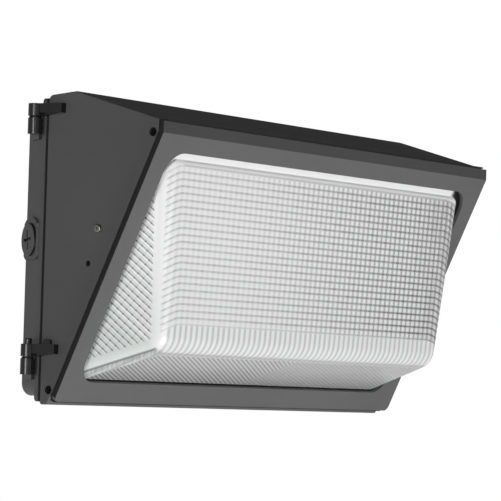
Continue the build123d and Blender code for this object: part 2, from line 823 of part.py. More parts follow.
with BuildPart() as frame_screws:
    head_seat = half_width - frame_screw_recess_depth
    shank_reach = frame_screw_recess_floor + skirt_clearance + skirt_thickness + frame_pad_height
    slot_length, slot_width, slot_depth = frame_screw_slot
    for side in (-1, 1):
        head_plane = Plane(origin=(side * head_seat, 0, 0), x_dir=(0, 1, 0), z_dir=(1, 0, 0))
        with BuildSketch(head_plane):
            with Locations(frame_screw_places):
                Circle(frame_screw_recess_radius - frame_screw_head_clearance)
        extrude(amount=side * frame_screw_head_height)
        with BuildSketch(head_plane):
            with Locations(frame_screw_places):
                Circle(frame_screw_radius)
        extrude(amount=-side * (shank_reach - frame_screw_tip_gap))
        with BuildSketch(head_plane.offset(side * frame_screw_head_height)):
            with Locations(frame_screw_places):
                Rectangle(slot_length, slot_width, rotation=frame_screw_slot_turn)
                Rectangle(slot_width, slot_length, rotation=frame_screw_slot_turn)
        extrude(amount=-side * slot_depth, mode=Mode.SUBTRACT)
write("frame_screws", frame_screws.part)

# --- refractor ----------------------------------------------------------------------------

bulge_half_width = window_width / 2 - bulge_base_gap
corner_cut_height = 2 * (bulge_top_height - face_bottom_height)
front_lean = tan(radians(bulge_front_lean))
bottom_fall = tan(radians(bulge_bottom_slope))
# where the bottom face meets the face's plane, side view
bottom_edge = slope_point(face_length - window_bottom_margin - bulge_bottom_gap, 0)


def bulge_side_outline(inset):
    """Side-view corners of the bulge, each face moved inwards by `inset`."""
    top = bulge_top_height - inset
    front_at_top = -bulge_front_depth + inset / cos(radians(bulge_front_lean))
    edge_z = bottom_edge[1] + inset / cos(radians(bulge_bottom_slope))
    # front: y = front_at_top + (bulge_top_height - z) * front_lean
    # bottom: z = edge_z - (y - bottom_edge[0]) * bottom_fall
    drop = bulge_top_height - edge_z - bottom_edge[0] * bottom_fall
    keel_y = (front_at_top + drop * front_lean) / (1 - bottom_fall * front_lean)
    keel_z = edge_z - (keel_y - bottom_edge[0]) * bottom_fall
    front_top = (front_at_top + inset * front_lean, top)
    back_reach = slope_point(face_length, flange_back)[0]
    return [
        front_top,
        (keel_y, keel_z),
        (back_reach, edge_z - (back_reach - bottom_edge[0]) * bottom_fall),
        (back_reach, top),
    ]


def bulge(inset, behind):
    """The refractor's bulge as a solid, drawn inwards by `inset` and cut off `behind` the face."""
    with BuildPart() as form:
        with BuildSketch(Plane.YZ.offset(-window_width)):
            with BuildLine():
                Polyline(*bulge_side_outline(inset), close=True)
            make_face()
        extrude(amount=2 * window_width)
        for side in (-1, 1):
            lean = radians(bulge_side_draft)
            wall = Plane(
                origin=face.from_local_coords((side * (bulge_half_width - inset / cos(lean)), 0, 0)),
                z_dir=Vector(side * cos(lean), 0, 0) + face.z_dir * sin(lean),
            )
            split(bisect_by=wall, keep=Keep.BOTTOM)
        # keel first: it joins each upright edge to its bilge edge in one smooth run
        fillet(form.edges().filter_by(Axis.X).group_by(SortBy.LENGTH)[0], bulge_keel_radius - inset)
        front = form.faces().sort_by(Axis.Y)[0]
        uprights = [e for e in front.edges() if abs((e @ 1 - e @ 0).Z) > window_height / 4]
        fillet(uprights, bulge_upright_radius - inset)
        crown = form.faces().sort_by(Axis.Z)[-1].edges().sort_by(Axis.Y)[:1]
        fillet(crown, bulge_crown_radius - inset)
        split(bisect_by=face.offset(-behind), keep=Keep.TOP)
        # rounded upper corners that follow the window's
        with BuildSketch(Plane.XZ):
            with Locations((0, bulge_top_height - inset - corner_cut_height / 2)):
                RectangleRounded(
                    2 * (bulge_half_width + bulge_corner_margin - inset),
                    corner_cut_height,
                    window_corner_radius - inset,
                )
        extrude(amount=face_top_depth, mode=Mode.INTERSECT)
    return form.part


with BuildPart() as glass_refractor:
    with BuildSketch(face.offset(-flange_front)):
        with Locations((0, window_middle)):
            RectangleRounded(
                2 * flange_half_width,
                window_height + 2 * flange_margin,
                window_corner_radius + flange_margin,
            )
    extrude(amount=-flange_thickness)
    add(bulge(0, flange_back))
    add(bulge(glass_wall, flange_back + flange_thickness / 2), mode=Mode.SUBTRACT)
write("glass_refractor", glass_refractor.part)

with BuildPart() as lens_gasket:
    with BuildSketch(face.offset(-frame_thickness)):
        with Locations((0, window_middle)):
            RectangleRounded(
                2 * (flange_half_width - lens_gasket_inset),
                window_height + 2 * (flange_margin - lens_gasket_inset),
                window_corner_radius + flange_margin - lens_gasket_inset,
            )
            RectangleRounded(window_width, window_height, window_corner_radius, mode=Mode.SUBTRACT)
    extrude(amount=-lens_gasket_thickness)
write("lens_gasket", lens_gasket.part)

with BuildPart() as lens_clips:
    with BuildSketch(face.offset(-flange_back)):
        for side in (-1, 1):
            for x, along in clip_places[: len(clip_places) // 2]:
                clip_edge = abs(x) + clip_post_radius - clip_edge_inset
                with Locations((side * (clip_edge - clip_length / 2), along)):
                    Rectangle(clip_length, clip_width)
    extrude(amount=-clip_thickness)
    with BuildSketch(face.offset(-flange_back)):
        with Locations(clip_places):
            Circle(clip_screw_radius + screw_hole_clearance)
    extrude(amount=-clip_thickness, mode=Mode.SUBTRACT)
write("lens_clips", lens_clips.part)

with BuildPart() as clip_screws:
    with BuildSketch(face.offset(-flange_back - clip_thickness)):
        with Locations(clip_places):
            Circle(clip_post_radius - clip_edge_inset)
    extrude(amount=-clip_screw_head_height)
    with BuildSketch(face.offset(-flange_back - clip_thickness)):
        with Locations(clip_places):
            Circle(clip_screw_radius)
    extrude(amount=clip_thickness + flange_thickness)
write("clip_screws", clip_screws.part)

# --- reflector ----------------------------------------------------------------------------

reflector_foot = slope_at_depth(reflector_back_depth, reflector_front_setback)
reflector_head = slope_point(reflector_front_margin, reflector_front_setback)

with BuildPart() as reflector:
    with BuildSketch(Plane.YZ.offset(-reflector_half_width)):
        with BuildLine():
            Polyline(
                reflector_head,
                (-reflector_back_depth, reflector_back_top),
                (-reflector_back_depth, reflector_foot[1]),
                close=True,
            )
        make_face()
    extrude(amount=2 * reflector_half_width)
    with BuildSketch(Plane.YZ.offset(-reflector_half_width + reflector_sheet)):
        with BuildLine():
            Polyline(
                (-face_top_depth, reflector_head[1] - reflector_sheet),
                (reflector_head[0], reflector_head[1] - reflector_sheet),
                (-reflector_back_depth, reflector_back_top - reflector_sheet),
                (door_back, reflector_back_top - reflector_sheet),
                (door_back, housing_bottom),
                (-face_top_depth, housing_bottom),
                close=True,
            )
        make_face()
    extrude(amount=2 * (reflector_half_width - reflector_sheet), mode=Mode.SUBTRACT)
    for side in (-1, 1):
        outer = Plane(origin=(side * reflector_half_width, 0, 0), x_dir=(0, 1, 0), z_dir=(1, 0, 0))
        with BuildSketch(outer):
            with Locations(side_screw_place):
                Circle(small_screw_radius)
        extrude(amount=-side * reflector_sheet, mode=Mode.SUBTRACT)
write("reflector", reflector.part)

with BuildPart() as reflector_screws:
    for side in (-1, 1):
        outer = Plane(origin=(side * half_width, 0, 0), x_dir=(0, 1, 0), z_dir=(1, 0, 0))
        with BuildSketch(outer):
            with Locations(side_screw_place):
                Circle(small_head_radius)
        extrude(amount=side * small_head_height)
        with BuildSketch(outer):
            with Locations(side_screw_place):
                Circle(small_screw_radius)
        extrude(amount=-side * (pillar_length + reflector_sheet + side_screw_tip))
    heads = reflector_screws.faces().filter_by(Axis.X).sort_by(Axis.X)
    fillet(heads[0].edges() + heads[-1].edges(), side_screw_head_rounding)
    slot_length, slot_width, slot_depth = side_screw_slot
    for side in (-1, 1):
        head_top = Plane(
            origin=(side * (half_width + small_head_height), 0, 0), x_dir=(0, 1, 0), z_dir=(1, 0, 0)
        )
        with BuildSketch(head_top):
            with Locations(side_screw_place):
                Rectangle(slot_length, slot_width, rotation=side_screw_slot_turn)
                Rectangle(slot_width, slot_length, rotation=side_screw_slot_turn)
        extrude(amount=-side * slot_depth, mode=Mode.SUBTRACT)
write("reflector_screws", reflector_screws.part)

# --- light engine on the back pan ---------------------------------------------------------

boss_top_depth = pan_wall + pan_boss_height
tray_front_depth = tray_back_depth + tray_thickness
post_places = [(x, z) for x in (-tray_post_x, tray_post_x) for z in (tray_post_top, tray_post_bottom)]

with BuildPart() as tray_posts:
    with BuildSketch(Plane.XZ.offset(boss_top_depth)):
        with Locations(post_places):
            RegularPolygon(tray_post_flats / 2, 6, major_radius=False)
            Circle(small_screw_radius, mode=Mode.SUBTRACT)
    extrude(amount=tray_back_depth - boss_top_depth)
write("tray_posts", tray_posts.part)

with BuildPart() as led_tray:
    with BuildSketch(Plane.XZ.offset(tray_back_depth)):
        with Locations((0, (tray_top + tray_bottom) / 2)):
            RectangleRounded(2 * tray_half_width, tray_top - tray_bottom, tray_corner_radius)
        with Locations(post_places):
            Circle(small_screw_radius + screw_hole_clearance, mode=Mode.SUBTRACT)
        with Locations((grommet_x, grommet_z)):
            Circle(grommet_radius - grommet_lip, mode=Mode.SUBTRACT)
    extrude(amount=tray_thickness)
    # folded edges stiffen the sheet
    with BuildSketch(Plane.XZ.offset(tray_back_depth)):
        for edge in (tray_top - tray_thickness / 2, tray_bottom + tray_thickness / 2):
            with Locations((0, edge)):
                Rectangle(2 * (tray_half_width - tray_fold_margin), tray_thickness)
    extrude(amount=-tray_return)
write("led_tray", led_tray.part)

with BuildPart() as tray_screws:
    with BuildSketch(Plane.XZ.offset(tray_front_depth)):
        with Locations(post_places):
            Circle(small_head_radius)
    extrude(amount=small_head_height)
    fillet(tray_screws.faces().sort_by(Axis.Y)[:4].edges(), small_head_rounding)
    with BuildSketch(Plane.XZ.offset(tray_front_depth)):
        with Locations(post_places):
            Circle(small_screw_radius)
    extrude(amount=-(tray_thickness + tray_screw_bite))
write("tray_screws", tray_screws.part)

with BuildPart() as thermal_pad:
    with BuildSketch(Plane.XZ.offset(tray_front_depth)):
        with Locations((0, board_centre_z)):
            Rectangle(board_width - 2 * pad_margin, board_height - 2 * pad_margin)
    extrude(amount=pad_thickness)
write("thermal_pad", thermal_pad.part)

board_back_depth = tray_front_depth + pad_thickness
board_front_depth = board_back_depth + board_thickness
board_screw_span_x = board_width - 2 * board_screw_inset
board_screw_span_z = board_height - 2 * board_screw_inset

with BuildPart() as led_board:
    with BuildSketch(Plane.XZ.offset(board_back_depth)):
        with Locations((0, board_centre_z)):
            RectangleRounded(board_width, board_height, board_corner_radius)
            with GridLocations(board_screw_span_x, board_screw_span_z, 2, 2):
                Circle(small_screw_radius + screw_hole_clearance, mode=Mode.SUBTRACT)
    extrude(amount=board_thickness)
write("led_board", led_board.part)

with BuildPart() as led_emitters:
    with BuildSketch(Plane.XZ.offset(board_front_depth)):
        with Locations((0, board_centre_z)):
            with GridLocations(emitter_pitch_x, emitter_pitch_z, emitter_columns, emitter_rows):
                Rectangle(emitter_side, emitter_side)
    extrude(amount=emitter_height)
write("led_emitters", led_emitters.part)

with BuildPart() as board_screws:
    with BuildSketch(Plane.XZ.offset(board_front_depth)):
        with Locations((0, board_centre_z)):
            with GridLocations(board_screw_span_x, board_screw_span_z, 2, 2):
                Circle(small_head_radius)
    extrude(amount=small_head_height)
    fillet(board_screws.faces().sort_by(Axis.Y)[:4].edges(), small_head_rounding)
    with BuildSketch(Plane.XZ.offset(board_front_depth)):
        with Locations((0, board_centre_z)):
            with GridLocations(board_screw_span_x, board_screw_span_z, 2, 2):
                Circle(small_screw_radius)
    extrude(amount=-(board_thickness + pad_thickness))
write("board_screws", board_screws.part)

connector_z = board_centre_z - board_height / 2 + connector_inset + connector_height / 2

with BuildPart() as board_connector:
    with BuildSketch(Plane.XZ.offset(board_front_depth)):
        with Locations((grommet_x, connector_z)):
            Rectangle(connector_length, connector_height)
    extrude(amount=connector_thickness)
write("board_connector", board_connector.part)

with BuildPart() as tray_grommet:
    grommet_start = tray_back_depth - grommet_lip_thickness
    grommet_length = tray_thickness + 2 * grommet_lip_thickness
    for depth in (grommet_start, tray_front_depth):
        with BuildSketch(Plane.XZ.offset(depth)):
            with Locations((grommet_x, grommet_z)):
                Circle(grommet_radius)
        extrude(amount=grommet_lip_thickness)
    with BuildSketch(Plane.XZ.offset(grommet_start)):
        with Locations((grommet_x, grommet_z)):
            Circle(grommet_radius - grommet_lip)
    extrude(amount=grommet_length)
    with BuildSketch(Plane.XZ.offset(grommet_start)):
        with Locations((grommet_x, grommet_z)):
            Circle(grommet_radius - grommet_wall)
    extrude(amount=grommet_length, mode=Mode.SUBTRACT)
write("tray_grommet", tray_grommet.part)

# --- electrical gear in the pan -----------------------------------------------------------

gear_seat = Plane.XZ.offset(pan_wall)
driver_screw_reach = (driver_length + driver_tab_length) / 2
driver_screw_places = [(driver_x + side * driver_screw_reach, driver_z) for side in (-1, 1)]

with BuildPart() as driver:
    with BuildSketch(gear_seat):
        with Locations((driver_x, driver_z)):
            RectangleRounded(driver_length, driver_height, driver_corner_radius)
    extrude(amount=driver_thickness)
    fillet(driver.faces().sort_by(Axis.Y)[0].edges(), case_edge_rounding)
    # end tabs with the fixing holes
    with BuildSketch(gear_seat):
        with Locations((driver_x, driver_z)):
            Rectangle(driver_length + 2 * driver_tab_length, driver_tab_height)
        with Locations(driver_screw_places):
            Circle(small_screw_radius + screw_hole_clearance, mode=Mode.SUBTRACT)
    extrude(amount=driver_tab_thickness)
write("driver", driver.part)

with BuildPart() as driver_screws:
    tab_seat = gear_seat.offset(driver_tab_thickness)
    with BuildSketch(tab_seat):
        with Locations(driver_screw_places):
            Circle(small_head_radius)
    extrude(amount=small_head_height)
    fillet(driver_screws.faces().sort_by(Axis.Y)[:2].edges(), small_head_rounding)
    with BuildSketch(tab_seat):
        with Locations(driver_screw_places):
            Circle(small_screw_radius)
    extrude(amount=-driver_tab_thickness)
write("driver_screws", driver_screws.part)

with BuildPart() as surge_protector:
    with BuildSketch(gear_seat):
        with Locations((surge_x, surge_z)):
            RectangleRounded(surge_length, surge_height, surge_corner_radius)
    extrude(amount=surge_thickness)
    fillet(surge_protector.faces().sort_by(Axis.Y)[0].edges(), case_edge_rounding)
write("surge_protector", surge_protector.part)

terminal_top = gear_seat.offset(terminal_thickness)
terminal_screw_places = [(terminal_x + step * terminal_length / 3, terminal_z) for step in (-1, 0, 1)]

with BuildPart() as terminal_block:
    with BuildSketch(gear_seat):
        with Locations((terminal_x, terminal_z)):
            Rectangle(terminal_length, terminal_height)
    extrude(amount=terminal_thickness)
    # barriers between the poles and a screw well in each
    with BuildSketch(terminal_top):
        with Locations((terminal_x, terminal_z)):
            with GridLocations(terminal_length / 3 - terminal_barrier_thickness / 3, 0, 4, 1):
                Rectangle(terminal_barrier_thickness, terminal_height)
    extrude(amount=terminal_barrier_height)
    with BuildSketch(terminal_top):
        with Locations(terminal_screw_places):
            Circle(terminal_well_radius)
    extrude(amount=-terminal_well_depth, mode=Mode.SUBTRACT)
write("terminal_block", terminal_block.part)

with BuildPart() as terminal_screws:
    with BuildSketch(terminal_top.offset(-terminal_well_depth)):
        with Locations(terminal_screw_places):
            Circle(terminal_screw_radius)
    extrude(amount=terminal_screw_height)
    with BuildSketch(terminal_top.offset(terminal_screw_height - terminal_well_depth)):
        with Locations(terminal_screw_places):
            Rectangle(1.7 * terminal_screw_radius, 0.3 * terminal_screw_radius)
    extrude(amount=-terminal_screw_height / 3, mode=Mode.SUBTRACT)
write("terminal_screws", terminal_screws.part)

with BuildPart() as ground_screw:
    with BuildSketch(gear_seat):
        with Locations((ground_x, ground_z)):
            RegularPolygon(ground_screw_size, 6)
    extrude(amount=ground_screw_height)
    # lug with its tongue up to the wire
    with BuildSketch(gear_seat):
        with Locations((ground_x, ground_z)):
            Circle(ground_lug_radius)
        with Locations((ground_x, ground_z + ground_lug_length / 2)):
            Rectangle(ground_lug_width, ground_lug_length)
    extrude(amount=ground_lug_thickness)
write("ground_screw", ground_screw.part)

# --- wires inside the pan -----------------------------------------------------------------


def bend_radii(route):
    """One radius for each corner of a wire's route, as large as its two runs allow."""
    radii = []
    for before, corner, after in zip(route, route[1:], route[2:]):
        arriving = Vector(*corner) - Vector(*before)
        leaving = Vector(*after) - Vector(*corner)
        half_turn = radians(arriving.get_angle(leaving)) / 2
        radii.append(min(wire_bend_limit, 0.45 * min(arriving.length, leaving.length) / tan(half_turn)))
    return radii


def wire_along(route):
    """A round wire that follows straight runs joined by tangent arcs."""
    with BuildPart() as wire:
        with BuildLine() as path:
            FilletPolyline(*route, radius=bend_radii(route))
        with BuildSketch(Plane(origin=path.line @ 0, z_dir=path.line % 0)):
            Circle(wire_radius)
        sweep()
    full = pi * wire_radius**2 * sum(edge.length for edge in path.edges())
    print("wire, volume over section times length:", round(wire.part.volume / full, 4))
    return wire.part


driver_right = driver_x + driver_length / 2
driver_left = driver_x - driver_length / 2
pole = terminal_length / 3
terminal_upper = terminal_z + terminal_height / 2
terminal_lower = terminal_z - terminal_height / 2
surge_lower = surge_z - surge_height / 2
near_wall = -pan_wall - wire_depth_near_wall
mid_pan = -pan_wall - wire_depth_middle
front_pan = -pan_wall - wire_depth_front
lug_top = -pan_wall - ground_lug_thickness - wire_radius
line_x = terminal_x - pole
line_turn = driver_right + line_reach
neutral_turn = driver_right + neutral_reach
wire_routes = {
    "wire_line": [
        (line_x, near_wall, terminal_upper),
        (line_x, near_wall, terminal_upper + line_rise),
        (line_turn, near_wall, terminal_upper + line_rise),
        (line_turn, near_wall, driver_z + line_landing),
        (driver_right, near_wall, driver_z + line_landing),
    ],
    "wire_neutral": [
        (terminal_x, mid_pan, terminal_upper),
        (terminal_x, mid_pan, terminal_upper + neutral_rise),
        (neutral_turn, mid_pan, terminal_upper + neutral_rise),
        (neutral_turn, mid_pan, driver_z + neutral_landing),
        (driver_right, mid_pan, driver_z + neutral_landing),
    ],
    "wire_ground": [
        (terminal_x + pole, near_wall, terminal_lower),
        (terminal_x + pole, near_wall, terminal_lower - ground_drop),
        (ground_x, lug_top, terminal_lower - ground_drop),
        (ground_x, lug_top, ground_z + ground_screw_size + ground_wire_gap),
    ],
}
board_feed = {
    "plus": (-1, front_pan, driver_z + board_wire_landing, plus_reach),
    "minus": (1, mid_pan, driver_z - board_wire_landing, minus_reach),
}
connector_lower = connector_z - connector_height / 2
connector_depth = board_front_depth + connector_thickness / 2
for name, (side, depth, start_z, reach) in board_feed.items():
    grommet_pass = grommet_x + side * wire_pair_spacing / 2
    wire_routes[f"wire_led_{name}"] = [
        (driver_left, depth, start_z),
        (driver_left - reach, depth, start_z),
        (driver_left - reach, depth, grommet_z),
        (grommet_pass, depth, grommet_z),
        (grommet_pass, -connector_depth, grommet_z),
        (grommet_pass, -connector_depth, connector_lower),
    ]

for name, route in wire_routes.items():
    write(name, wire_along(route))

# two straight leads from the surge protector down to the line and neutral poles
with BuildPart() as surge_leads:
    with BuildSketch(Plane.XY.offset(terminal_upper)):
        for pole_x, sideways in zip((line_x, terminal_x), surge_lead_offsets):
            with Locations((pole_x + sideways, near_wall + surge_lead_depth)):
                Circle(wire_radius)
    extrude(amount=surge_lower - terminal_upper)
write("surge_leads", surge_leads.part)

# --- closing screws -----------------------------------------------------------------------

latch_seat_depth = -door_back + ear_thickness
latch_head_depth = latch_seat_depth + latch_washer_thickness

for name, height in latch_heights.items():
    with BuildPart() as latch_washer:
        with BuildSketch(Plane.XZ.offset(latch_seat_depth)):
            with Locations((latch_x, height)):
                Circle(latch_head_radius + latch_washer_overhang)
                Circle(latch_screw_radius + latch_washer_clearance, mode=Mode.SUBTRACT)
        extrude(amount=latch_washer_thickness)
    write(f"latch_washer_{name}", latch_washer.part)

    with BuildPart() as latch_screw:
        with BuildSketch(Plane.XZ.offset(latch_head_depth)):
            with Locations((latch_x, height)):
                Circle(latch_head_radius)
        extrude(amount=latch_head_height)
        fillet(latch_screw.faces().sort_by(Axis.Y)[0].edges(), latch_head_rounding)
        with BuildSketch(Plane.XZ.offset(latch_head_depth + latch_head_height)):
            with Locations((latch_x, height)):
                Rectangle(latch_recess_length, latch_recess_width)
                Rectangle(latch_recess_width, latch_recess_length)
        extrude(amount=-latch_recess_depth, mode=Mode.SUBTRACT)
        with BuildSketch(Plane.XZ.offset(latch_head_depth)):
            with Locations((latch_x, height)):
                Circle(latch_screw_radius)
        extrude(amount=-(latch_head_depth - latch_shank_end))
        chamfer(latch_screw.faces().sort_by(Axis.Y)[-1].edges(), latch_tip_chamfer)
    write(f"latch_screw_{name}", latch_screw.part)
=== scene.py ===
import math

import bmesh
import bpy
import numpy as np
from mathutils import Matrix, Vector


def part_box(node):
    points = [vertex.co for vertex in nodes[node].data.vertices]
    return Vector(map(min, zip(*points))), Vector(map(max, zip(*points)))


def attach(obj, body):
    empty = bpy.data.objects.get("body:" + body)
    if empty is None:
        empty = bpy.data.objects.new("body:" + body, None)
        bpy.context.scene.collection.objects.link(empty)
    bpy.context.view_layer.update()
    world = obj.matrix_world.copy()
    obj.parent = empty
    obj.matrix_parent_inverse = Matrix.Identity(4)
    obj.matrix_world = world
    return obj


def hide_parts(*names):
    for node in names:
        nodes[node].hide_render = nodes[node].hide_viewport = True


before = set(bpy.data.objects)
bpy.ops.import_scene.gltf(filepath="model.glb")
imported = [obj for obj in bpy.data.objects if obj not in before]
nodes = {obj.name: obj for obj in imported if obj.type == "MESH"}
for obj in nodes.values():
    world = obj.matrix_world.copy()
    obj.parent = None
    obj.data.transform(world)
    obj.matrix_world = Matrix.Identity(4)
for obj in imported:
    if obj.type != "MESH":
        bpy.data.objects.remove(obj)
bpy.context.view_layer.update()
mm = 0.001
print("frame loaded,", len(nodes), "nodes")


class Value:
    # one output socket, so that shader maths reads as an expression
    def __init__(self, graph, socket):
        self.graph = graph
        self.socket = socket

    def calc(self, operation, first, second=0.0):
        return self.graph.add("Math", {"operation": operation}, {0: first, 1: second})

    def __add__(self, other):
        return self.calc("ADD", self, other)

    def __radd__(self, other):
        return self.calc("ADD", other, self)

    def __sub__(self, other):
        return self.calc("SUBTRACT", self, other)

    def __rsub__(self, other):
        return self.calc("SUBTRACT", other, self)

    def __mul__(self, other):
        return self.calc("MULTIPLY", self, other)

    def __rmul__(self, other):
        return self.calc("MULTIPLY", other, self)

    def __truediv__(self, other):
        return self.calc("DIVIDE", self, other)

    def larger(self, other):
        return self.calc("MAXIMUM", self, other)

    def size(self):
        return self.calc("ABSOLUTE", self)

    def fade(self, low, high):
        # 0 up to low, 1 from high on, smooth between
        settings = {"interpolation_type": "SMOOTHSTEP"}
        return self.graph.add("MapRange", settings, {"Value": self, "From Min": low, "From Max": high})

    def line(self, pitch, halfWidth, soft):
        # 1 on thin lines that repeat every pitch
        turns = self / pitch + 0.5
        away = (self.calc("FRACT", turns) - 0.5).size() * pitch
        return 1 - away.fade(halfWidth, halfWidth + soft)


class Graph:
    def __init__(self, name, tree=None):
        if tree is None:
            self.material = bpy.data.materials.new(name)
            self.material.use_nodes = True
            tree = self.material.node_tree
        self.tree = tree
        self.tree.nodes.clear()

    def plug(self, target, value):
        if isinstance(value, Value):
            self.tree.links.new(value.socket, target)
        elif isinstance(value, (tuple, list)) and len(value) == 3 and target.type == "RGBA":
            target.default_value = (*value, 1.0)
        else:
            target.default_value = value

    def add(self, kind, settings=None, sockets=None, out=0):
        node = self.tree.nodes.new("ShaderNode" + kind)
        for key, setting in (settings or {}).items():
            if key == "stops":
                ramp = node.color_ramp
                while len(ramp.elements) < len(setting):
                    ramp.elements.new(0.5)
                for element, (place, level) in zip(ramp.elements, setting):
                    element.position = place
                    element.color = (level, level, level, 1.0)
            else:
                setattr(node, key, setting)
        for key, value in (sockets or {}).items():
            self.plug(node.inputs[key], value)
        return Value(self, node.outputs[out]) if node.outputs else None

    def place(self):
        return self.add("TexCoord", out="Object")

    def noise(self, scale, detail=3.0, rough=0.55, where=None):
        sockets = {"Vector": where or self.place(), "Scale": scale, "Detail": detail, "Roughness": rough}
        return self.add("TexNoise", {}, sockets)

    def parts(self, name):
        # the three numbers that the mesh carries under a name
        stored = self.add("Attribute", {"attribute_name": name}, out="Vector")
        return [self.add("SeparateXYZ", {}, {0: stored}, out=axis) for axis in "XYZ"]

    def vector(self, x, y, z):
        return self.add("CombineXYZ", {}, {0: x, 1: y, 2: z})

    def ramp(self, value, stops):
        return self.add("ValToRGB", {"stops": stops}, {"Fac": value})

    def mix(self, share, first, second):
        return self.add("Mix", {"data_type": "RGBA"}, {"Factor": share, 6: first, 7: second}, out=2)

    def bump(self, height, strength, distance):
        return self.add("Bump", {}, {"Height": height, "Strength": strength, "Distance": distance})

    def axis(self, letter):
        return self.add("SeparateXYZ", {}, {0: self.place()}, out=letter)

    def dot(self, direction):
        settings = {"operation": "DOT_PRODUCT"}
        return self.add("VectorMath", settings, {0: self.place(), 1: direction}, out="Value")

    def finish(self, **sockets):
        named = {key.replace("_", " "): value for key, value in sockets.items()}
        shading = self.add("BsdfPrincipled", {}, named)
        self.add("OutputMaterial", {}, {"Surface": shading})
        return self.material


paint = {
    "dark": (0.092, 0.092, 0.093),
    "light": (0.104, 0.104, 0.105),
    "black": (0.006, 0.006, 0.006),
    "shading": 0.5,  # share of black where a coat lies in the shade
    "framePaintedLight": 1.07,  # the frame's coat lightened against the housing's: painted light for the frame's lit face
    "clouds": 9.0,
    "grain": 1500.0,  # noise scale of the coat's fine texture
    "grainDepth": 0.00012,
    "orangePeel": 260.0,
    "dust": 60.0,
    "speckle": 0.2,
    "speckleLift": 1.4,
    "rough": 0.52,
    "dustRough": 0.14,
    "grainRough": 0.2,
    "specular": 0.3,
    "bump": 0.55,
}


def castPaint(name, lift=1.0, blackWhere=None, darkWhere=None):
    g = Graph(name)
    grain = g.noise(paint["grain"], 2.0)
    peel = g.noise(paint["orangePeel"], 2.0)
    cloud = g.noise(paint["clouds"], 4.0)
    dust = g.noise(paint["dust"], 5.0, 0.7)
    dark, light = ([c * lift for c in paint[key]] for key in ("dark", "light"))
    shade = g.mix(g.ramp(cloud, [(0.35, 0.0), (0.7, 1.0)]), dark, light)
    speckle = g.ramp(grain, [(0.42, 0.0), (0.72, 1.0)])
    tint = g.mix(speckle * paint["speckle"], shade, [c * paint["speckleLift"] for c in light])
    if darkWhere:
        tint = g.mix(darkWhere(g) * paint["shading"], tint, paint["black"])
    if blackWhere:
        tint = g.mix(blackWhere(g), tint, paint["black"])
    rough = paint["rough"] + (dust - 0.5) * paint["dustRough"] + (grain - 0.5) * paint["grainRough"]
    return g.finish(
        Base_Color=tint,
        Roughness=rough,
        Specular_IOR_Level=paint["specular"],
        Normal=g.bump(grain * 0.8 + peel * 0.6, paint["bump"], paint["grainDepth"]),
    )


# roughness and its spread, noise scales of clouds and fine marks, strength and depth of the marks
surfaces = {
    "gloss": {"rough": 0.16, "spread": 0.12, "clouds": 35, "marks": 120, "bump": 0.3, "depth": 0.0002},
    "rubber": {"rough": 0.72, "spread": 0.16, "clouds": 70, "marks": 1800, "bump": 0.4, "depth": 6e-5},
    "sheet": {"rough": 0.34, "spread": 0.12, "clouds": 14, "marks": 420, "bump": 0.25, "depth": 5e-5},
    "steel": {"rough": 0.24, "spread": 0.18, "clouds": 160, "marks": 2600, "bump": 0.2, "depth": 3e-5},
    "plastic": {"rough": 0.32, "spread": 0.16, "clouds": 45, "marks": 900, "bump": 0.3, "depth": 4e-5},
}
metallic = {"steel": 1.0}
specular = {"rubber": 0.25}


def surface(name, kind, dark, light, **changes):
    look = {**surfaces[kind], **changes}
    g = Graph(name)
    cloud = g.noise(look["clouds"], 4.0)
    marks = g.noise(look["marks"], 2.0)
    return g.finish(
        Base_Color=g.mix(cloud, dark, light),
        Metallic=metallic.get(kind, 0.0),
        Roughness=look["rough"] + cloud * look["spread"],
        Specular_IOR_Level=specular.get(kind, 0.5),
        Normal=g.bump(marks, look["bump"], look["depth"]),
    )


def rubber(name, colour):
    return surface(name, "rubber", colour, [c * 1.7 + 0.002 for c in colour])


def plastic(name, colour, **changes):
    dark = [c * 0.88 for c in colour]
    light = [min(1.0, c * 1.1) for c in colour]
    return surface(name, "plastic", dark, light, **changes)


def emitterGel(name):
    g = Graph(name)
    cloud = g.noise(900.0, 3.0)
    return g.finish(
        Base_Color=g.mix(cloud, (0.74, 0.52, 0.06), (0.9, 0.72, 0.16)),
        Roughness=0.18 + cloud * 0.1,
        Coat_Weight=0.6,
    )


glassLook = {
    "clear": (0.965, 0.965, 0.97),
    "line": (0.13, 0.13, 0.13),
    "cell": (0.36, 0.36, 0.36),
    "bilge": (0.30, 0.34, 0.325),
    "bilgeLine": (0.16, 0.18, 0.175),
    "sea": (0.80, 0.845, 0.825),
    "shade": (0.26, 0.26, 0.26),
    # painted shade for the lower front
    "dusk": (0.58, 0.59, 0.585),
    # painted shadow in the gap round the bulge
    "gap": (0.012, 0.012, 0.012),
    "rough": 0.18,
    "cordRough": 0.06,
    "transmission": 0.10,
    "rightFrom": (-150.0, 170.0),  # across, where painted shade makes the lines darker to the right
    "farFrom": (130.0, 205.0),  # across, where the right end is streaked with painted shade
    "cornerFrom": (40.0, 190.0),  # across and down, where painted shade makes the rows darker at the lower right
    "cornerBelow": (30.0, 110.0),
    "duskBelow": (35.0, 125.0),  # down, where painted shade makes the front greyer
    "shadowBeside": (208.8, 209.4),  # across, on both sides of the bulge, where the flange is painted as shadow
    "shadowRight": (194.0, 200.0),  # across, on the right end of the flange's top, painted as shadow
    "shadowUnder": (-90.0, -88.0),  # height under which the flange is painted as shadow
}
# half width and soft edge of the drawn lines
lineLook = {
    "row": (0.35, 0.75),
    "wideRow": (0.75, 1.1),
    "column": (0.55, 1.0),
    "wideColumn": (1.1, 1.3),
    "dash": (0.4, 1.6),
    "sideRow": (0.22, 0.5),
    "tick": (0.35, 0.6),
    "fineFlute": (0.6, 0.9),
    "weave": (0.4, 0.7),
    "keelFlute": (0.6, 1.7),
}
# strength of the drawn lines at the left, and the painted shade that the right end adds
strength = {
    "row": (0.44, 0.42),
    "column": (0.05, 0.42),
    "wideRow": (0.24, 0.40),
    "wideColumn": (0.20, 0.60),
}
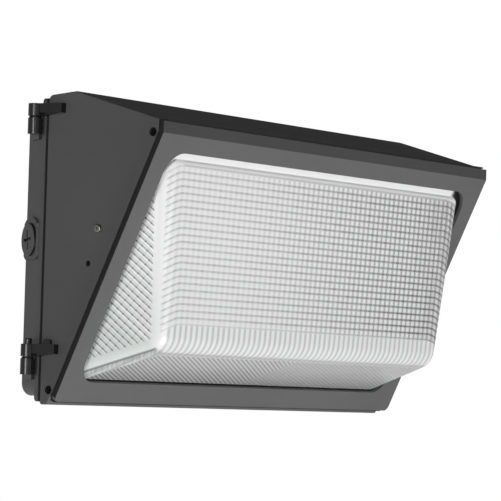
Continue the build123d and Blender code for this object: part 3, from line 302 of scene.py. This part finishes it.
# strength of the rest, line by line and tint by tint
amount = {
    "lowRight": 0.2,
    "crown": 0.42,
    "sideRow": 0.66,
    "sideDot": 0.34,
    "tick": 0.10,
    "weave": 0.30,
    "weaveDot": 0.58,
    "keelFlute": 0.38,
    "keelDash": 0.75,
    "cell": 0.55,
    "farEndShade": 0.55,
    "dusk": 0.20,
    "bottom": 0.35,
    "edgeLine": 0.85,
}


def pressedGlass(name, glass):
    g = Graph(name)
    across, down, onFront = g.parts("frontLines")
    slant, cross, onSide = g.parts("sideLines")
    leaning, dashing, onBottom = g.parts("bottomLines")
    onKeel, onBilge, arcShare = g.parts("edges")
    topLines, onDash, onBulge = g.parts("marks")
    # painted shade: the drawn lines and cell borders grow darker to the right
    rightShade = across.fade(*glassLook["rightFrom"])
    # painted shade: the rows grow darker at the lower right
    lowRight = across.fade(*glassLook["cornerFrom"]) * down.fade(*glassLook["cornerBelow"])
    grown = {key: left + right * rightShade for key, (left, right) in strength.items()}
    prism, flute, sidePitch = glass["prismPitch"], glass["flutePitch"], glass["sidePitch"]

    # front: rows dashed by the flutes, and grey cell borders, both darkened to the right by painted shade
    rows = down.line(prism, *lineLook["row"])
    wideRows = down.line(prism, *lineLook["wideRow"])
    columns = across.line(flute, *lineLook["column"])
    wideColumns = across.line(flute, *lineLook["wideColumn"])
    dash = 1 - (across + flute / 2).line(flute, *lineLook["dash"])
    uneven = g.noise(0.12, 2.0, 0.5, g.vector(across, down * 1.3, 0.0)).fade(0.25, 0.75)
    strong = (rows * grown["row"] * (0.5 + 0.5 * dash)).larger(columns * grown["column"])
    strong = strong * (0.75 + 0.35 * uneven) + lowRight * rows * amount["lowRight"]
    cells = (wideRows * grown["wideRow"]).larger(wideColumns * grown["wideColumn"])
    # crown: two fine lines over the first row
    strong = (strong * onFront).larger(topLines * amount["crown"])

    # sides: leaning rows, dark where fine cross rows meet them
    steep = slant.line(sidePitch, *lineLook["sideRow"])
    ticks = cross.line(sidePitch * 1.25, *lineLook["tick"])
    side = steep * (amount["sideRow"] + amount["sideDot"] * ticks) + ticks * amount["tick"]

    # underside: rows that meet in the middle, crossed by the flutes
    fineFlutes = across.line(flute / 2, *lineLook["fineFlute"])
    weave = leaning.line(glass["weavePitch"], *lineLook["weave"])
    weave = weave * (amount["weave"] + amount["weaveDot"] * fineFlutes)
    # keel: flutes, and a row of dashes at its lower edge
    keelFlutes = across.line(flute, *lineLook["keelFlute"]) * amount["keelFlute"]
    dashes = dashing.line(flute / 2, *lineLook["fineFlute"])

    drawn = strong.larger(side * onSide).larger(weave * onBottom).larger(keelFlutes * onKeel)
    drawn = drawn.larger(dashes * onDash * amount["keelDash"])
    # painted shade: grey streaks over the right end of the front
    streak = g.noise(1.0, 3.0, 0.6, g.vector(across * 0.42, down * 0.03, 0.0)).fade(0.35, 0.65)
    farEndShade = across.fade(*glassLook["farFrom"]) * onFront * (0.2 + 0.8 * streak) * amount["farEndShade"]
    ripple = g.noise(1.0, 3.0, 0.6, g.vector(cross * 0.9, slant * 0.06, 0.0)).fade(0.3, 0.7)
    tint = g.mix(cells * onFront * amount["cell"], glassLook["clear"], glassLook["cell"])
    tint = g.mix(farEndShade, tint, glassLook["shade"])
    # painted shade: the front greyer towards the bottom
    tint = g.mix(down.fade(*glassLook["duskBelow"]) * amount["dusk"], tint, glassLook["dusk"])
    # painted shade: the underside of the bulge tinted greyer
    tint = g.mix(onBottom * amount["bottom"], tint, glassLook["cell"])
    # rounded lower side edge: streaked below, a crisp line, pale sea green above
    lowEdge = arcShare.fade(0.02, 0.08) * (1 - arcShare.fade(0.50, 0.54))
    lowEdge = lowEdge * (0.45 + 0.55 * arcShare.fade(0.15, 0.5))
    edgeLine = arcShare.fade(0.47, 0.51) * (1 - arcShare.fade(0.56, 0.62))
    tint = g.mix(onBilge * arcShare.fade(0.54, 0.6), tint, glassLook["sea"])
    tint = g.mix(onBilge * lowEdge * (0.45 + 0.55 * ripple), tint, glassLook["bilge"])
    tint = g.mix(onBilge * edgeLine * amount["edgeLine"], tint, glassLook["bilgeLine"])
    tint = g.mix(drawn, tint, glassLook["line"])
    # flange round the bulge: painted shadow in the gap, black beside the bulge, towards its right end and
    # along its bottom
    x = g.axis("X") / mm
    gap = x.size().fade(*glassLook["shadowBeside"]).larger(x.fade(*glassLook["shadowRight"]))
    gap = gap.larger(1 - (g.axis("Z") / mm).fade(*glassLook["shadowUnder"]))
    offBulge = 1 - onBulge.fade(0.0, 0.3)
    cords = g.noise(40.0, 4.0)
    return g.finish(
        Base_Color=g.mix(offBulge * gap, tint, glassLook["gap"]),
        Roughness=glassLook["rough"] + cords * glassLook["cordRough"],
        Transmission_Weight=glassLook["transmission"],
        IOR=1.5,
        Normal=g.bump(drawn * -0.5 + cords * 0.1, 0.2, 0.0003),
    )


def dress(material, *names):
    for name in names:
        for slot in nodes[name].material_slots:
            slot.material = material


# depth under a piece's outer face where painted shade starts and ends, in millimetres
shadeDepth = {"frameEdge": (0.7, 0.4), "frameStrip": (9.0, 8.6), "plug": (0.8, 0.4)}


def reaching(value, outer, key):
    start, end = shadeDepth[key]
    return value.fade(outer - start * mm, outer - end * mm)


def frameEdges(g):
    # painted shade: the frame's outer edges are painted black so that they read as part of the shadowed
    # black seam
    return reaching(g.axis("X").size(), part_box("lens_frame")[1][0], "frameEdge")


def frameStrip(g):
    # the upright strip over the face, in the shade of the brow
    return reaching(g.axis("Z"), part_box("lens_frame")[1][2], "frameStrip")


def plugPaint(name, side):
    # what lies under the plug's outer face, slot and rim, is in deep shade
    entry = math.radians(30)
    outward = Vector((side * math.cos(entry), math.sin(entry), 0))
    outer = max(vertex.co @ outward for vertex in nodes[name].data.vertices)

    def deep(g):
        return 1 - reaching(g.dot(outward), outer, "plug")

    return castPaint("paint_" + name, 1.0, deep)


housingPaint = castPaint("darkCastPaint")
# the frame's copy of the coat: lighter as painted light, with painted shade on its outer edges and its
# upright strip
framePaint = castPaint("framePaint", paint["framePaintedLight"], frameEdges, frameStrip)
hingeBlack = surface("glossBlackHinge", "gloss", (0.003, 0.003, 0.003), (0.007, 0.007, 0.007))
sealRubber = rubber("blackSeal", (0.012, 0.012, 0.012))
sheetWhite = surface("whiteSheet", "sheet", (0.80, 0.80, 0.79), (0.88, 0.88, 0.87))
zincPlate = surface("zincPlate", "steel", (0.48, 0.48, 0.46), (0.66, 0.66, 0.63))
blackScrew = surface("blackScrew", "steel", (0.012, 0.012, 0.012), (0.024, 0.024, 0.024), rough=0.35)
darkSteel = surface("darkSteel", "steel", (0.16, 0.16, 0.16), (0.34, 0.34, 0.33), rough=0.2)
boardWhite = plastic("boardWhite", (0.80, 0.81, 0.78), rough=0.22, marks=2000)
padGrey = rubber("padGrey", (0.16, 0.17, 0.18))
driverCase = plastic("driverCase", (0.74, 0.74, 0.72), rough=0.34, marks=500)
surgeCase = plastic("surgeCase", (0.03, 0.03, 0.035), rough=0.37)
terminalWhite = plastic("terminalWhite", (0.74, 0.73, 0.68), rough=0.42)
groundGreen = surface("groundGreen", "steel", (0.03, 0.22, 0.07), (0.05, 0.32, 0.1), rough=0.35)
emitterYellow = emitterGel("emitterGel")
wireJackets = {
    "wire_line": (0.012, 0.012, 0.012),
    "surge_leads": (0.012, 0.012, 0.012),
    "wire_neutral": (0.72, 0.72, 0.70),
    "wire_ground": (0.02, 0.24, 0.06),
    "wire_led_plus": (0.42, 0.02, 0.015),
    "wire_led_minus": (0.015, 0.05, 0.33),
}

dress(housingPaint, "rear_housing", "door_housing")
dress(plugPaint("conduit_plug_left", -1), "conduit_plug_left")
dress(plugPaint("conduit_plug_right", 1), "conduit_plug_right")
dress(framePaint, "lens_frame")
for end in ("upper", "lower"):
    dress(hingeBlack, f"hinge_base_{end}", f"hinge_arm_{end}", f"hinge_pin_{end}")
    dress(zincPlate, f"latch_washer_{end}")
    dress(blackScrew, f"latch_screw_{end}")
dress(sealRubber, "door_gasket", "frame_gasket", "brow_seal", "lens_gasket", "tray_grommet")
dress(sheetWhite, "reflector", "led_tray")
dress(blackScrew, "hinge_washers")
dress(darkSteel, "reflector_screws")
dress(zincPlate, "lens_clips", "clip_screws", "tray_posts", "tray_screws")
dress(zincPlate, "board_screws", "driver_screws", "terminal_screws")
dress(blackScrew, "frame_screws")
dress(boardWhite, "led_board", "board_connector")
dress(padGrey, "thermal_pad")
dress(driverCase, "driver")
dress(surgeCase, "surge_protector")
dress(terminalWhite, "terminal_block")
dress(groundGreen, "ground_screw")
dress(emitterYellow, "led_emitters")
for wireName, jacket in wireJackets.items():
    dress(plastic("jacket_" + wireName, jacket, rough=0.27), wireName)
print("materials on the solids")


# the refractor, in millimetres, on the same construction lines as its solid
glass = {
    "faceTop": (-138.0, 87.0),  # y, z of the lens frame's front face
    "faceBottom": (-44.5, -111.0),
    "halfBase": 208.5,  # half width on the face plane
    "draft": 17.0,
    "top": 73.0,
    "front": -127.2,
    "lean": 4.4,
    "bottomSlope": 18.0,
    "bottomLevel": -75.0,
    "bottomAt": -104.0,
    "keel": 17.0,
    "edge": 13.6,
    "crown": 6.0,
    "cornerRadius": 22.0,
    "cornerMargin": 1.5,
    "wall": 4.0,
    "flangeFront": 4.5,
    "flangeBack": 8.5,
    "flangeHalf": 216.5,
    "flangeTop": 10.3,  # along the face from its top
    "flangeBottom": 205.9,
    "flangeCorner": 21.5,
    "prismPitch": 5.13,
    "flutePitch": 7.0,
    "prismDepth": 0.16,
    "lineDrop": 6.5,  # how far a prism line bends down towards the upright edge
    "bendRun": (19.0, 22.0),  # over which it bends, at the top and at the keel
    "bendEnd": (8.5, 10.5),  # how far on the edge's arc it ends there
    "sidePitch": 4.4,
    "sideStart": 6.4,  # behind the front, where the side lines start
    "sideEnd": 10.0,  # above the underside, where they end
    "sideAngle": 43.0,
    "sideDepth": 0.15,
    "weavePitch": 3.0,
    "weaveRun": 1.9,  # across for one back
    "weaveDepth": 0.12,
    "firstLine": 5.5,  # below the top
    "lastLine": 123.5,
    "dashLean": 0.15,  # across for one back, on the keel's lower edge
    "stepsPerCell": 6,
    "halfWidth": 198.0,  # by which the columns of a half are counted
    "sideSteps": 58,
    "innerStep": 6.0,
    "innerSideSteps": 20,
    "cornerSteps": 12,
}

faceRun = glass["faceBottom"][0] - glass["faceTop"][0]
faceRise = glass["faceTop"][1] - glass["faceBottom"][1]
tilt = math.atan2(faceRun, faceRise)
faceOut = np.array([-math.cos(tilt), -math.sin(tilt)])  # y, z
faceDown = np.array([math.sin(tilt), -math.cos(tilt)])
faceMiddle = (np.array(glass["faceTop"]) + np.array(glass["faceBottom"])) / 2


def smooth(low, high, value):
    share = np.clip((value - low) / (high - low), 0, 1)
    return share * share * (3 - 2 * share)


class Bulge:
    # side profile of the bulge drawn inwards by inset, cut where it is cut behind the face
    def __init__(self, inset, cut):
        self.inset = inset
        self.cut = cut
        lean = math.radians(glass["lean"])
        slope = math.radians(glass["bottomSlope"])
        self.topZ = glass["top"] - inset
        frontY = glass["front"] + inset / math.cos(lean)
        level = glass["bottomLevel"] + inset / math.cos(slope)
        fall = math.tan(slope)
        drop = self.topZ + inset - level - glass["bottomAt"] * fall
        keelY = (frontY + drop * math.tan(lean)) / (1 - fall * math.tan(lean))
        keelZ = level - (keelY - glass["bottomAt"]) * fall
        self.down = np.array([math.sin(lean), -math.cos(lean)])
        self.back = np.array([math.cos(slope), -math.sin(slope)])
        self.frontOut = np.array([-math.cos(lean), -math.sin(lean)])
        self.frontTop = np.array([frontY + inset * math.tan(lean), self.topZ])
        keel = np.array([keelY, keelZ])
        self.keelRadius = glass["keel"] - inset
        self.edgeRadius = glass["edge"] - inset
        self.crownRadius = glass["crown"] - inset
        self.turn = math.acos(float(self.down @ self.back))
        reach = self.keelRadius * math.tan(self.turn / 2)
        self.keelStart = keel - self.down * reach
        self.keelEnd = keel + self.back * reach
        crownTurn = math.pi / 2 + lean
        self.crownEnd = self.frontTop + self.down * self.crownRadius * math.tan(crownTurn / 2)
        self.crownCentre = self.crownEnd - self.frontOut * self.crownRadius
        # how far up the crown the flange's plane lies
        self.crownAngle = 0.0
        while self.crownAngle < crownTurn and self.height(self.onCrown(self.crownAngle)[0]) > -cut:
            self.crownAngle += 0.002
        self.frontLength = float(np.linalg.norm(self.keelStart - self.crownEnd))
        self.keelLength = self.keelRadius * self.turn
        self.bottomLength = (self.height(self.keelEnd) + cut) / -float(self.back @ faceOut)

    def height(self, point):
        return float((point - faceMiddle) @ faceOut)

    def onCrown(self, angle):
        out = turned(self.frontOut, -angle)
        return self.crownCentre + out * self.crownRadius, out

    def profile(self, along):
        # point and outward normal at a distance down from the crown's lower end
        if along < 0:
            return self.onCrown(min(-along / self.crownRadius, self.crownAngle))
        if along <= self.frontLength:
            return self.crownEnd + self.down * along, self.frontOut
        rest = along - self.frontLength
        if rest <= self.keelLength:
            out = turned(self.frontOut, rest / self.keelRadius)
            centre = self.keelStart - self.frontOut * self.keelRadius
            return centre + out * self.keelRadius, out
        rest = min(rest - self.keelLength, self.bottomLength)
        return self.keelEnd + self.back * rest, turned(self.frontOut, self.turn)

    def stations(self, step):
        crown = np.linspace(-self.crownRadius * self.crownAngle, 0, max(3, int(6 / step)))[:-1]
        front = np.linspace(0, self.frontLength, int(self.frontLength / step))[:-1]
        keelPart = self.frontLength + np.linspace(0, self.keelLength, int(self.keelLength / step) + 2)[:-1]
        start = self.frontLength + self.keelLength
        bottom = start + np.linspace(0, self.bottomLength, int(self.bottomLength / step) + 2)
        return np.concatenate([crown, front, keelPart, bottom])


def turned(direction, angle):
    # turns a y, z direction from the front towards the underside
    c, s = math.cos(angle), math.sin(angle)
    return np.array([direction[0] * c - direction[1] * s, direction[0] * s + direction[1] * c])


def station(form, halfBase, draft, along):
    # the section across the bulge at one place of its side profile
    point, out = form.profile(along)
    lift = form.height(point)
    rate = float(out @ faceOut)
    lean = math.atan(draft * rate)
    bend = math.pi / 2 - lean
    arcDepth = form.edgeRadius * (1 - math.cos(bend))
    depthEnd = max((lift + form.cut) / rate, 0.0)
    flat = halfBase - draft * lift - form.edgeRadius * math.tan(bend / 2)
    wallX = flat + form.edgeRadius * math.sin(bend)
    return {
        "along": along,
        "point": point,
        "out": out,
        "bend": bend,
        "flat": flat,
        "depthEnd": depthEnd,
        "short": depthEnd <= arcDepth,
        "wall": np.array([wallX, *(point - out * arcDepth)]),
    }


def bulgeGrid(inset, cut, step, sideCount):
    # x, y, z, then across, along, share of the edge's arc, run on the wall, flat half width
    form = Bulge(inset, cut)
    draft = math.tan(math.radians(glass["draft"]))
    halfBase = glass["halfBase"] - inset / math.cos(math.radians(glass["draft"]))
    stations = [station(form, halfBase, draft, along) for along in form.stations(step)]
    long = [s for s in stations if not s["short"]]
    first, last = long[0], long[-1]
    ends = [float((s["wall"][1:] - faceMiddle) @ faceDown) for s in (first, last)]
    halfCount = int(glass["halfWidth"] / step)
    rows = []
    for s in stations:
        arcLength = form.edgeRadius * s["bend"]
        wallRun = 0.0
        if s["short"]:
            arcLength = form.edgeRadius * math.acos(1 - s["depthEnd"] / form.edgeRadius)
        else:
            # the wall is ruled from the arc's end to the plane behind the face
            share = (s["along"] - first["along"]) / (last["along"] - first["along"])
            foot = faceMiddle + faceDown * (ends[0] + share * (ends[1] - ends[0])) - faceOut * cut
            reach = np.array([halfBase + draft * cut, *foot]) - s["wall"]
            wallRun = float(np.linalg.norm(reach))
        flatX = np.linspace(0, s["flat"], halfCount + 1)
        ones = np.ones_like(flatX)
        run = np.linspace(0, arcLength + wallRun, sideCount + 1)[1:]
        turn = np.minimum(run, arcLength) / form.edgeRadius
        depth = form.edgeRadius * (1 - np.cos(turn))
        arc = np.stack([
            s["flat"] + form.edgeRadius * np.sin(turn),
            s["point"][0] - s["out"][0] * depth,
            s["point"][1] - s["out"][1] * depth,
        ], 1)
        beyond = run - np.minimum(run, arcLength)
        if wallRun:
            arc = np.where(beyond[:, None] > 0, s["wall"] + reach * (beyond / wallRun)[:, None], arc)
        flat = np.stack([flatX, ones * s["point"][0], ones * s["point"][1]], 1)
        xyz = np.concatenate([flat, arc])
        across = np.concatenate([flatX, s["flat"] + run])
        arcShare = np.concatenate([np.zeros_like(flatX), turn / s["bend"]])
        onWall = np.concatenate([np.zeros_like(flatX), beyond])
        same = np.full_like(across, s["along"])
        half = np.column_stack([xyz, across, same, arcShare, onWall, np.full_like(across, s["flat"])])
        mirrored = half[1:][::-1] * np.array([-1, 1, 1, -1, 1, 1, 1, 1])
        rows.append(np.concatenate([mirrored, half]))
    return form, np.array(rows)


def roundCorners(grid, inset):
    # the two upper corners follow the window's
    radius = glass["cornerRadius"] - inset
    centreX = glass["halfBase"] + glass["cornerMargin"] - inset - radius
    centreZ = glass["top"] - inset - radius
    dx = np.abs(grid[..., 0]) - centreX
    dz = grid[..., 2] - centreZ
    far = np.hypot(np.maximum(dx, 0), np.maximum(dz, 0))
    outside = (dx > 0) & (dz > 0) & (far > radius)
    scale = np.where(outside, radius / np.maximum(far, 1e-6), 1.0)
    grid[..., 0] = np.where(outside, np.sign(grid[..., 0]) * (centreX + dx * scale), grid[..., 0])
    grid[..., 2] = np.where(outside, centreZ + dz * scale, grid[..., 2])


def seatRim(grid, cut):
    # the open rim lies on the plane that is cut behind the face
    for rim in (grid[0], grid[-1], grid[:, 0], grid[:, -1]):
        gap = (rim[:, 1] - faceMiddle[0]) * faceOut[0] + (rim[:, 2] - faceMiddle[1]) * faceOut[1] + cut
        rim[:, 1] -= gap / faceOut[0]


def gridNormals(points):
    across = np.gradient(points, axis=1)
    along = np.gradient(points, axis=0)
    normal = np.cross(along, across)
    length = np.linalg.norm(normal, axis=2, keepdims=True)
    return normal / np.maximum(length, 1e-9)


def wave(coordinate, pitch):
    return 0.5 - 0.5 * np.cos(2 * np.pi * coordinate / pitch)


def relief(form, grid):
    # height of the pressed pattern, and what the shader draws its lines from
    across, along, arcShare, wallRun, flat = (grid[..., k] for k in range(3, 8))
    side = grid[..., 1:3]
    lastLine = glass["lastLine"] - glass["firstLine"]
    keelEnd = form.frontLength + form.keelLength
    bottomOut = turned(form.frontOut, form.turn)
    behindFront = (form.crownEnd - side) @ form.frontOut
    overBottom = (form.keelEnd - side) @ bottomOut
    pastFlat = np.abs(across) - flat
    low = np.clip(along / lastLine, 0, 1)
    bendEnd, bendRun = (a + (b - a) * low for a, b in (glass["bendEnd"], glass["bendRun"]))
    bend = np.clip((pastFlat - bendEnd) / bendRun + 1, 0, 1)
    down = along - glass["lineDrop"] * bend ** 2
    onFlat = 1 - smooth(-1.5, 1.5, pastFlat - bendEnd)
    onFront = onFlat * smooth(-0.5, 0.8, down) * (1 - smooth(lastLine - 0.5, lastLine + 0.8, down))
    onBottom = smooth(keelEnd - 1.5, keelEnd + 0.5, along) * (1 - smooth(0.02, 0.10, arcShare))
    onKeel = smooth(lastLine - 0.5, lastLine + 0.8, down) * (1 - onBottom)
    onKeel = onKeel * (1 - smooth(0.2, 0.5, arcShare))
    onDash = smooth(keelEnd - 6.0, keelEnd - 5.0, along) * (1 - smooth(keelEnd - 1.5, keelEnd - 0.5, along))
    onDash = onDash * (1 - smooth(0.1, 0.3, arcShare))
    angle = math.radians(glass["sideAngle"])
    slant = side[..., 0] * math.sin(angle) - side[..., 1] * math.cos(angle)
    cross = side[..., 0] * math.cos(angle) + side[..., 1] * math.sin(angle)
    sideStart, sideEnd = glass["sideStart"], glass["sideEnd"]
    onSide = smooth(sideStart - 0.6, sideStart + 0.6, behindFront) * smooth(0.0, 0.3, wallRun)
    onSide = onSide * smooth(sideEnd - 1.5, sideEnd + 1.0, overBottom)
    onBilge = smooth(keelEnd - 8.0, keelEnd - 4.0, along)
    back = along - keelEnd
    leaning = (np.abs(across) + glass["weaveRun"] * back) / math.hypot(1, glass["weaveRun"])
    dashing = across + glass["dashLean"] * back
    prisms = wave(down, glass["prismPitch"])
    flutes = wave(across, glass["flutePitch"])
    height = glass["prismDepth"] * (onFront * prisms * (0.6 + 0.4 * flutes) + 0.6 * onKeel * flutes)
    height = height + glass["weaveDepth"] * onBottom * wave(leaning, glass["weavePitch"])
    height = height + glass["sideDepth"] * onSide * wave(slant, glass["sidePitch"])
    topLines = np.maximum(fineLine(along, -0.2, 0.5), fineLine(along, -3.0, 0.45))
    topLines = topLines * (1 - smooth(-12.0, -6.0, pastFlat))
    one = np.ones_like(across)
    lines = {
        "frontLines": (across, down, onFront),
        "sideLines": (slant, cross, onSide),
        "bottomLines": (leaning, dashing, onBottom),
        "edges": (onKeel, onBilge, arcShare),
        "marks": (topLines, onDash, one),
    }
    # nothing is drawn on the rim, where the flange starts
    for mask in (onFront, onSide, onBottom, topLines, one, height):
        mask[[0, -1], :] = 0
        mask[:, [0, -1]] = 0
    return height, lines


def fineLine(value, middle, half):
    return 1 - smooth(half * 0.5, half * 1.5, np.abs(value - middle))


def gridFaces(rows, columns, start, flip):
    faces = []
    for i in range(rows - 1):
        for j in range(columns - 1):
            a = start + i * columns + j
            quad = (a, a + 1, a + columns + 1, a + columns)
            faces.append(quad[::-1] if flip else quad)
    return faces


def rimLoop(rows, columns, start):
    top = [start + j for j in range(columns)]
    right = [start + i * columns + columns - 1 for i in range(1, rows)]
    bottom = [start + (rows - 1) * columns + j for j in range(columns - 2, -1, -1)]
    left = [start + i * columns for i in range(rows - 2, 0, -1)]
    return top + right + bottom + left


def flangeOutline():
    # closed rounded rectangle on the face's plane, from its upper left corner
    half = glass["flangeHalf"]
    radius = glass["flangeCorner"]
    length = glass["flangeBottom"] - glass["flangeTop"]
    centre = (glass["flangeBottom"] + glass["flangeTop"]) / 2 - math.hypot(faceRun, faceRise) / 2
    steps = glass["cornerSteps"]
    outline = []
    for cornerX, cornerS, first in ((-1, -1, 180), (1, -1, 270), (1, 1, 0), (-1, 1, 90)):
        for step in range(steps + 1):
            turn = math.radians(first + step * 90 / steps)
            outline.append((
                cornerX * (half - radius) + radius * math.cos(turn),
                centre + cornerS * (length / 2 - radius) + radius * math.sin(turn),
            ))
    return np.array(outline + outline[:1])


def flangeRing(rim, cut):
    # for each point of the bulge's rim, the flange's edge in the same direction from the middle
    outline = flangeOutline()
    middle = faceMiddle - faceOut * cut
    angles = np.unwrap(np.arctan2(outline[:-1, 1], outline[:-1, 0]))
    x = rim[:, 0]
    s = (rim[:, 1] - middle[0]) * faceDown[0] + (rim[:, 2] - middle[1]) * faceDown[1]
    want = np.arctan2(s, x)
    order = np.mod(want - angles[0], 2 * np.pi)
    table = np.append(angles - angles[0], 2 * np.pi)
    ringX = np.interp(order, table, outline[:, 0])
    ringS = np.interp(order, table, outline[:, 1])
    y = middle[0] + faceDown[0] * ringS
    z = middle[1] + faceDown[1] * ringS
    return np.stack([ringX, y, z], 1)


def buildGlass():
    front, back = glass["flangeFront"], glass["flangeBack"]
    form, outer = bulgeGrid(0.0, front, glass["flutePitch"] / glass["stepsPerCell"], glass["sideSteps"])
    inner = bulgeGrid(glass["wall"], back, glass["innerStep"], glass["innerSideSteps"])[1]
    roundCorners(outer, 0.0)
    roundCorners(inner, glass["wall"])
    seatRim(outer, front)
    seatRim(inner, back)
    height, lines = relief(form, outer)
    points = outer[..., :3] + gridNormals(outer[..., :3]) * height[..., None]
    rows, columns = points.shape[:2]
    innerRows, innerColumns = inner.shape[:2]
    outerLoop = rimLoop(rows, columns, 0)
    innerStart = rows * columns
    innerLoop = rimLoop(innerRows, innerColumns, innerStart)
    body = np.concatenate([points.reshape(-1, 3), inner[..., :3].reshape(-1, 3)])
    faces = gridFaces(rows, columns, 0, False) + gridFaces(innerRows, innerColumns, innerStart, True)
    smoothCount = len(faces)
    parts = [body]
    start = len(body)
    rings = []
    for loop, cut in ((outerLoop, front), (innerLoop, back)):
        ring = flangeRing(body[loop], cut)
        parts.append(ring)
        ids = list(range(start, start + len(ring)))
        start += len(ring)
        for k in range(len(loop)):
            n = (k + 1) % len(loop)
            faces.append((loop[k], loop[n], ids[n], ids[k]))
        rings.append(ids)
    vertices = np.concatenate(parts)
    mesh = bpy.data.meshes.new("glassRefractor")
    mesh.from_pydata([Vector(v) * mm for v in vertices], [], faces)
    for name, values in lines.items():
        data = np.zeros((len(vertices), 3), np.float32)
        data[:innerStart] = np.stack(values, -1).reshape(-1, 3)
        layer = mesh.attributes.new(name, "FLOAT_VECTOR", "POINT")
        layer.data.foreach_set("vector", data.reshape(-1))
    mesh.shade_smooth()
    for polygon in mesh.polygons[smoothCount:]:
        polygon.use_smooth = False
    bm = bmesh.new()
    bm.from_mesh(mesh)
    bm.verts.ensure_lookup_table()
    loops = []
    for ids in rings:
        loops += [bm.edges.get((bm.verts[a], bm.verts[b])) for a, b in zip(ids, ids[1:] + ids[:1])]
    bmesh.ops.bridge_loops(bm, edges=loops)
    bmesh.ops.remove_doubles(bm, verts=bm.verts[:], dist=1e-6)
    bmesh.ops.recalc_face_normals(bm, faces=bm.faces[:])
    print("open edges of the glass:", sum(1 for e in bm.edges if len(e.link_faces) != 2))
    bm.to_mesh(mesh)
    bm.free()
    piece = bpy.data.objects.new("glass_prismatic", mesh)
    bpy.context.scene.collection.objects.link(piece)
    mesh.materials.append(pressedGlass("pressedGlass", glass))
    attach(piece, "door")
    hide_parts("glass_refractor")
    print("glass:", len(mesh.vertices), "vertices")


buildGlass()

# camera, set at the photograph's viewpoint
shot = {
    "place": (-2.0715, -1.4899, -0.1082),
    "yaw": 55.338,
    "pitch": 2.784,
    "roll": 1.6532,
    "lens": 226.01,
}


def makeCamera():
    yaw, pitch, roll = (math.radians(shot[k]) for k in ("yaw", "pitch", "roll"))
    ahead = math.cos(pitch)
    forward = Vector((math.sin(yaw) * ahead, math.cos(yaw) * ahead, math.sin(pitch)))
    level = Vector((math.cos(yaw), -math.sin(yaw), 0))
    upright = level.cross(forward)
    right = level * math.cos(roll) + upright * math.sin(roll)
    up = upright * math.cos(roll) - level * math.sin(roll)
    data = bpy.data.cameras.new("photoCamera")
    data.lens = shot["lens"]
    data.sensor_width = 36.0
    data.clip_end = 100.0
    camera = bpy.data.objects.new("photoCamera", data)
    facing = Matrix((right, up, -forward)).transposed().to_4x4()
    camera.matrix_world = Matrix.Translation(shot["place"]) @ facing
    bpy.context.scene.collection.objects.link(camera)
    bpy.context.scene.camera = camera


makeCamera()
print("camera set")

studio = {
    "floor": -1.5,
    "floorSize": 40.0,
    "floorGlow": 0.62,  # for the eye and for mirrors only, so that the sweep reads white
    "below": 0.48,  # world light: under the horizon, at it and overhead
    "level": 0.60,
    "above": 0.042,
    "aim": (0.0, -0.08, 0.0),
}
lamps = {  # place, width, height, power
    "keyLamp": ((-0.25, -1.75, -1.2), 1.3, 1.3, 42.0),
    "sideLamp": ((-2.5, -0.42, 0.0), 0.8, 0.8, 17.0),
    "stripLamp": ((-1.7, -1.3, 0.5), 0.10, 1.3, 1.6),
}


def makeWorld():
    world = bpy.data.worlds.new("studio")
    bpy.context.scene.world = world
    world.use_nodes = True
    g = Graph("studio", world.node_tree)
    heading = g.add("TexCoord", out="Generated")
    upward = g.add("SeparateXYZ", {}, {0: heading}, out="Z")
    stops = [(0.25, studio["below"]), (0.5, studio["level"]), (0.72, studio["above"])]
    light = g.ramp(upward * 0.5 + 0.5, stops)
    seen = g.add("LightPath", out="Is Camera Ray")
    through = g.add("LightPath", out="Is Transmission Ray")
    colour = g.mix(seen.larger(through), light, (1.0, 1.0, 1.0))
    background = g.add("Background", {}, {"Color": colour, "Strength": 1.0})
    g.add("OutputWorld", {}, {"Surface": background})


def makeFloor():
    mesh = bpy.data.meshes.new("floor")
    half = studio["floorSize"] / 2
    corners = [(-half, -half), (half, -half), (half, half), (-half, half)]
    mesh.from_pydata([(x, y, studio["floor"]) for x, y in corners], [], [(0, 1, 2, 3)])
    floor = bpy.data.objects.new("floor", mesh)
    bpy.context.scene.collection.objects.link(floor)
    g = Graph("paleFloor")
    seen = g.add("LightPath", out="Is Camera Ray")
    through = g.add("LightPath", out="Is Transmission Ray")
    mirrored = g.add("LightPath", out="Is Glossy Ray")
    glow = g.mix(seen.larger(through).larger(mirrored), (0.0, 0.0, 0.0), (studio["floorGlow"],) * 3)
    mesh.materials.append(g.finish(
        Base_Color=(0.86, 0.86, 0.86),
        Roughness=0.9,
        Specular_IOR_Level=0.1,
        Emission_Color=glow,
        Emission_Strength=1.0,
    ))


def makeLamp(name, place, width, height, power):
    data = bpy.data.lights.new(name, "AREA")
    data.shape = "RECTANGLE"
    data.size = width
    data.size_y = height
    data.energy = power
    lamp = bpy.data.objects.new(name, data)
    lamp.location = place
    lamp.visible_camera = False
    aim = Vector(studio["aim"]) - Vector(place)
    lamp.rotation_euler = aim.to_track_quat("-Z", "Y").to_euler()
    bpy.context.scene.collection.objects.link(lamp)


makeWorld()
makeFloor()
for lampName, (place, width, height, power) in lamps.items():
    makeLamp(lampName, place, width, height, power)
bpy.context.scene.view_settings.view_transform = "Standard"
print("studio ready")
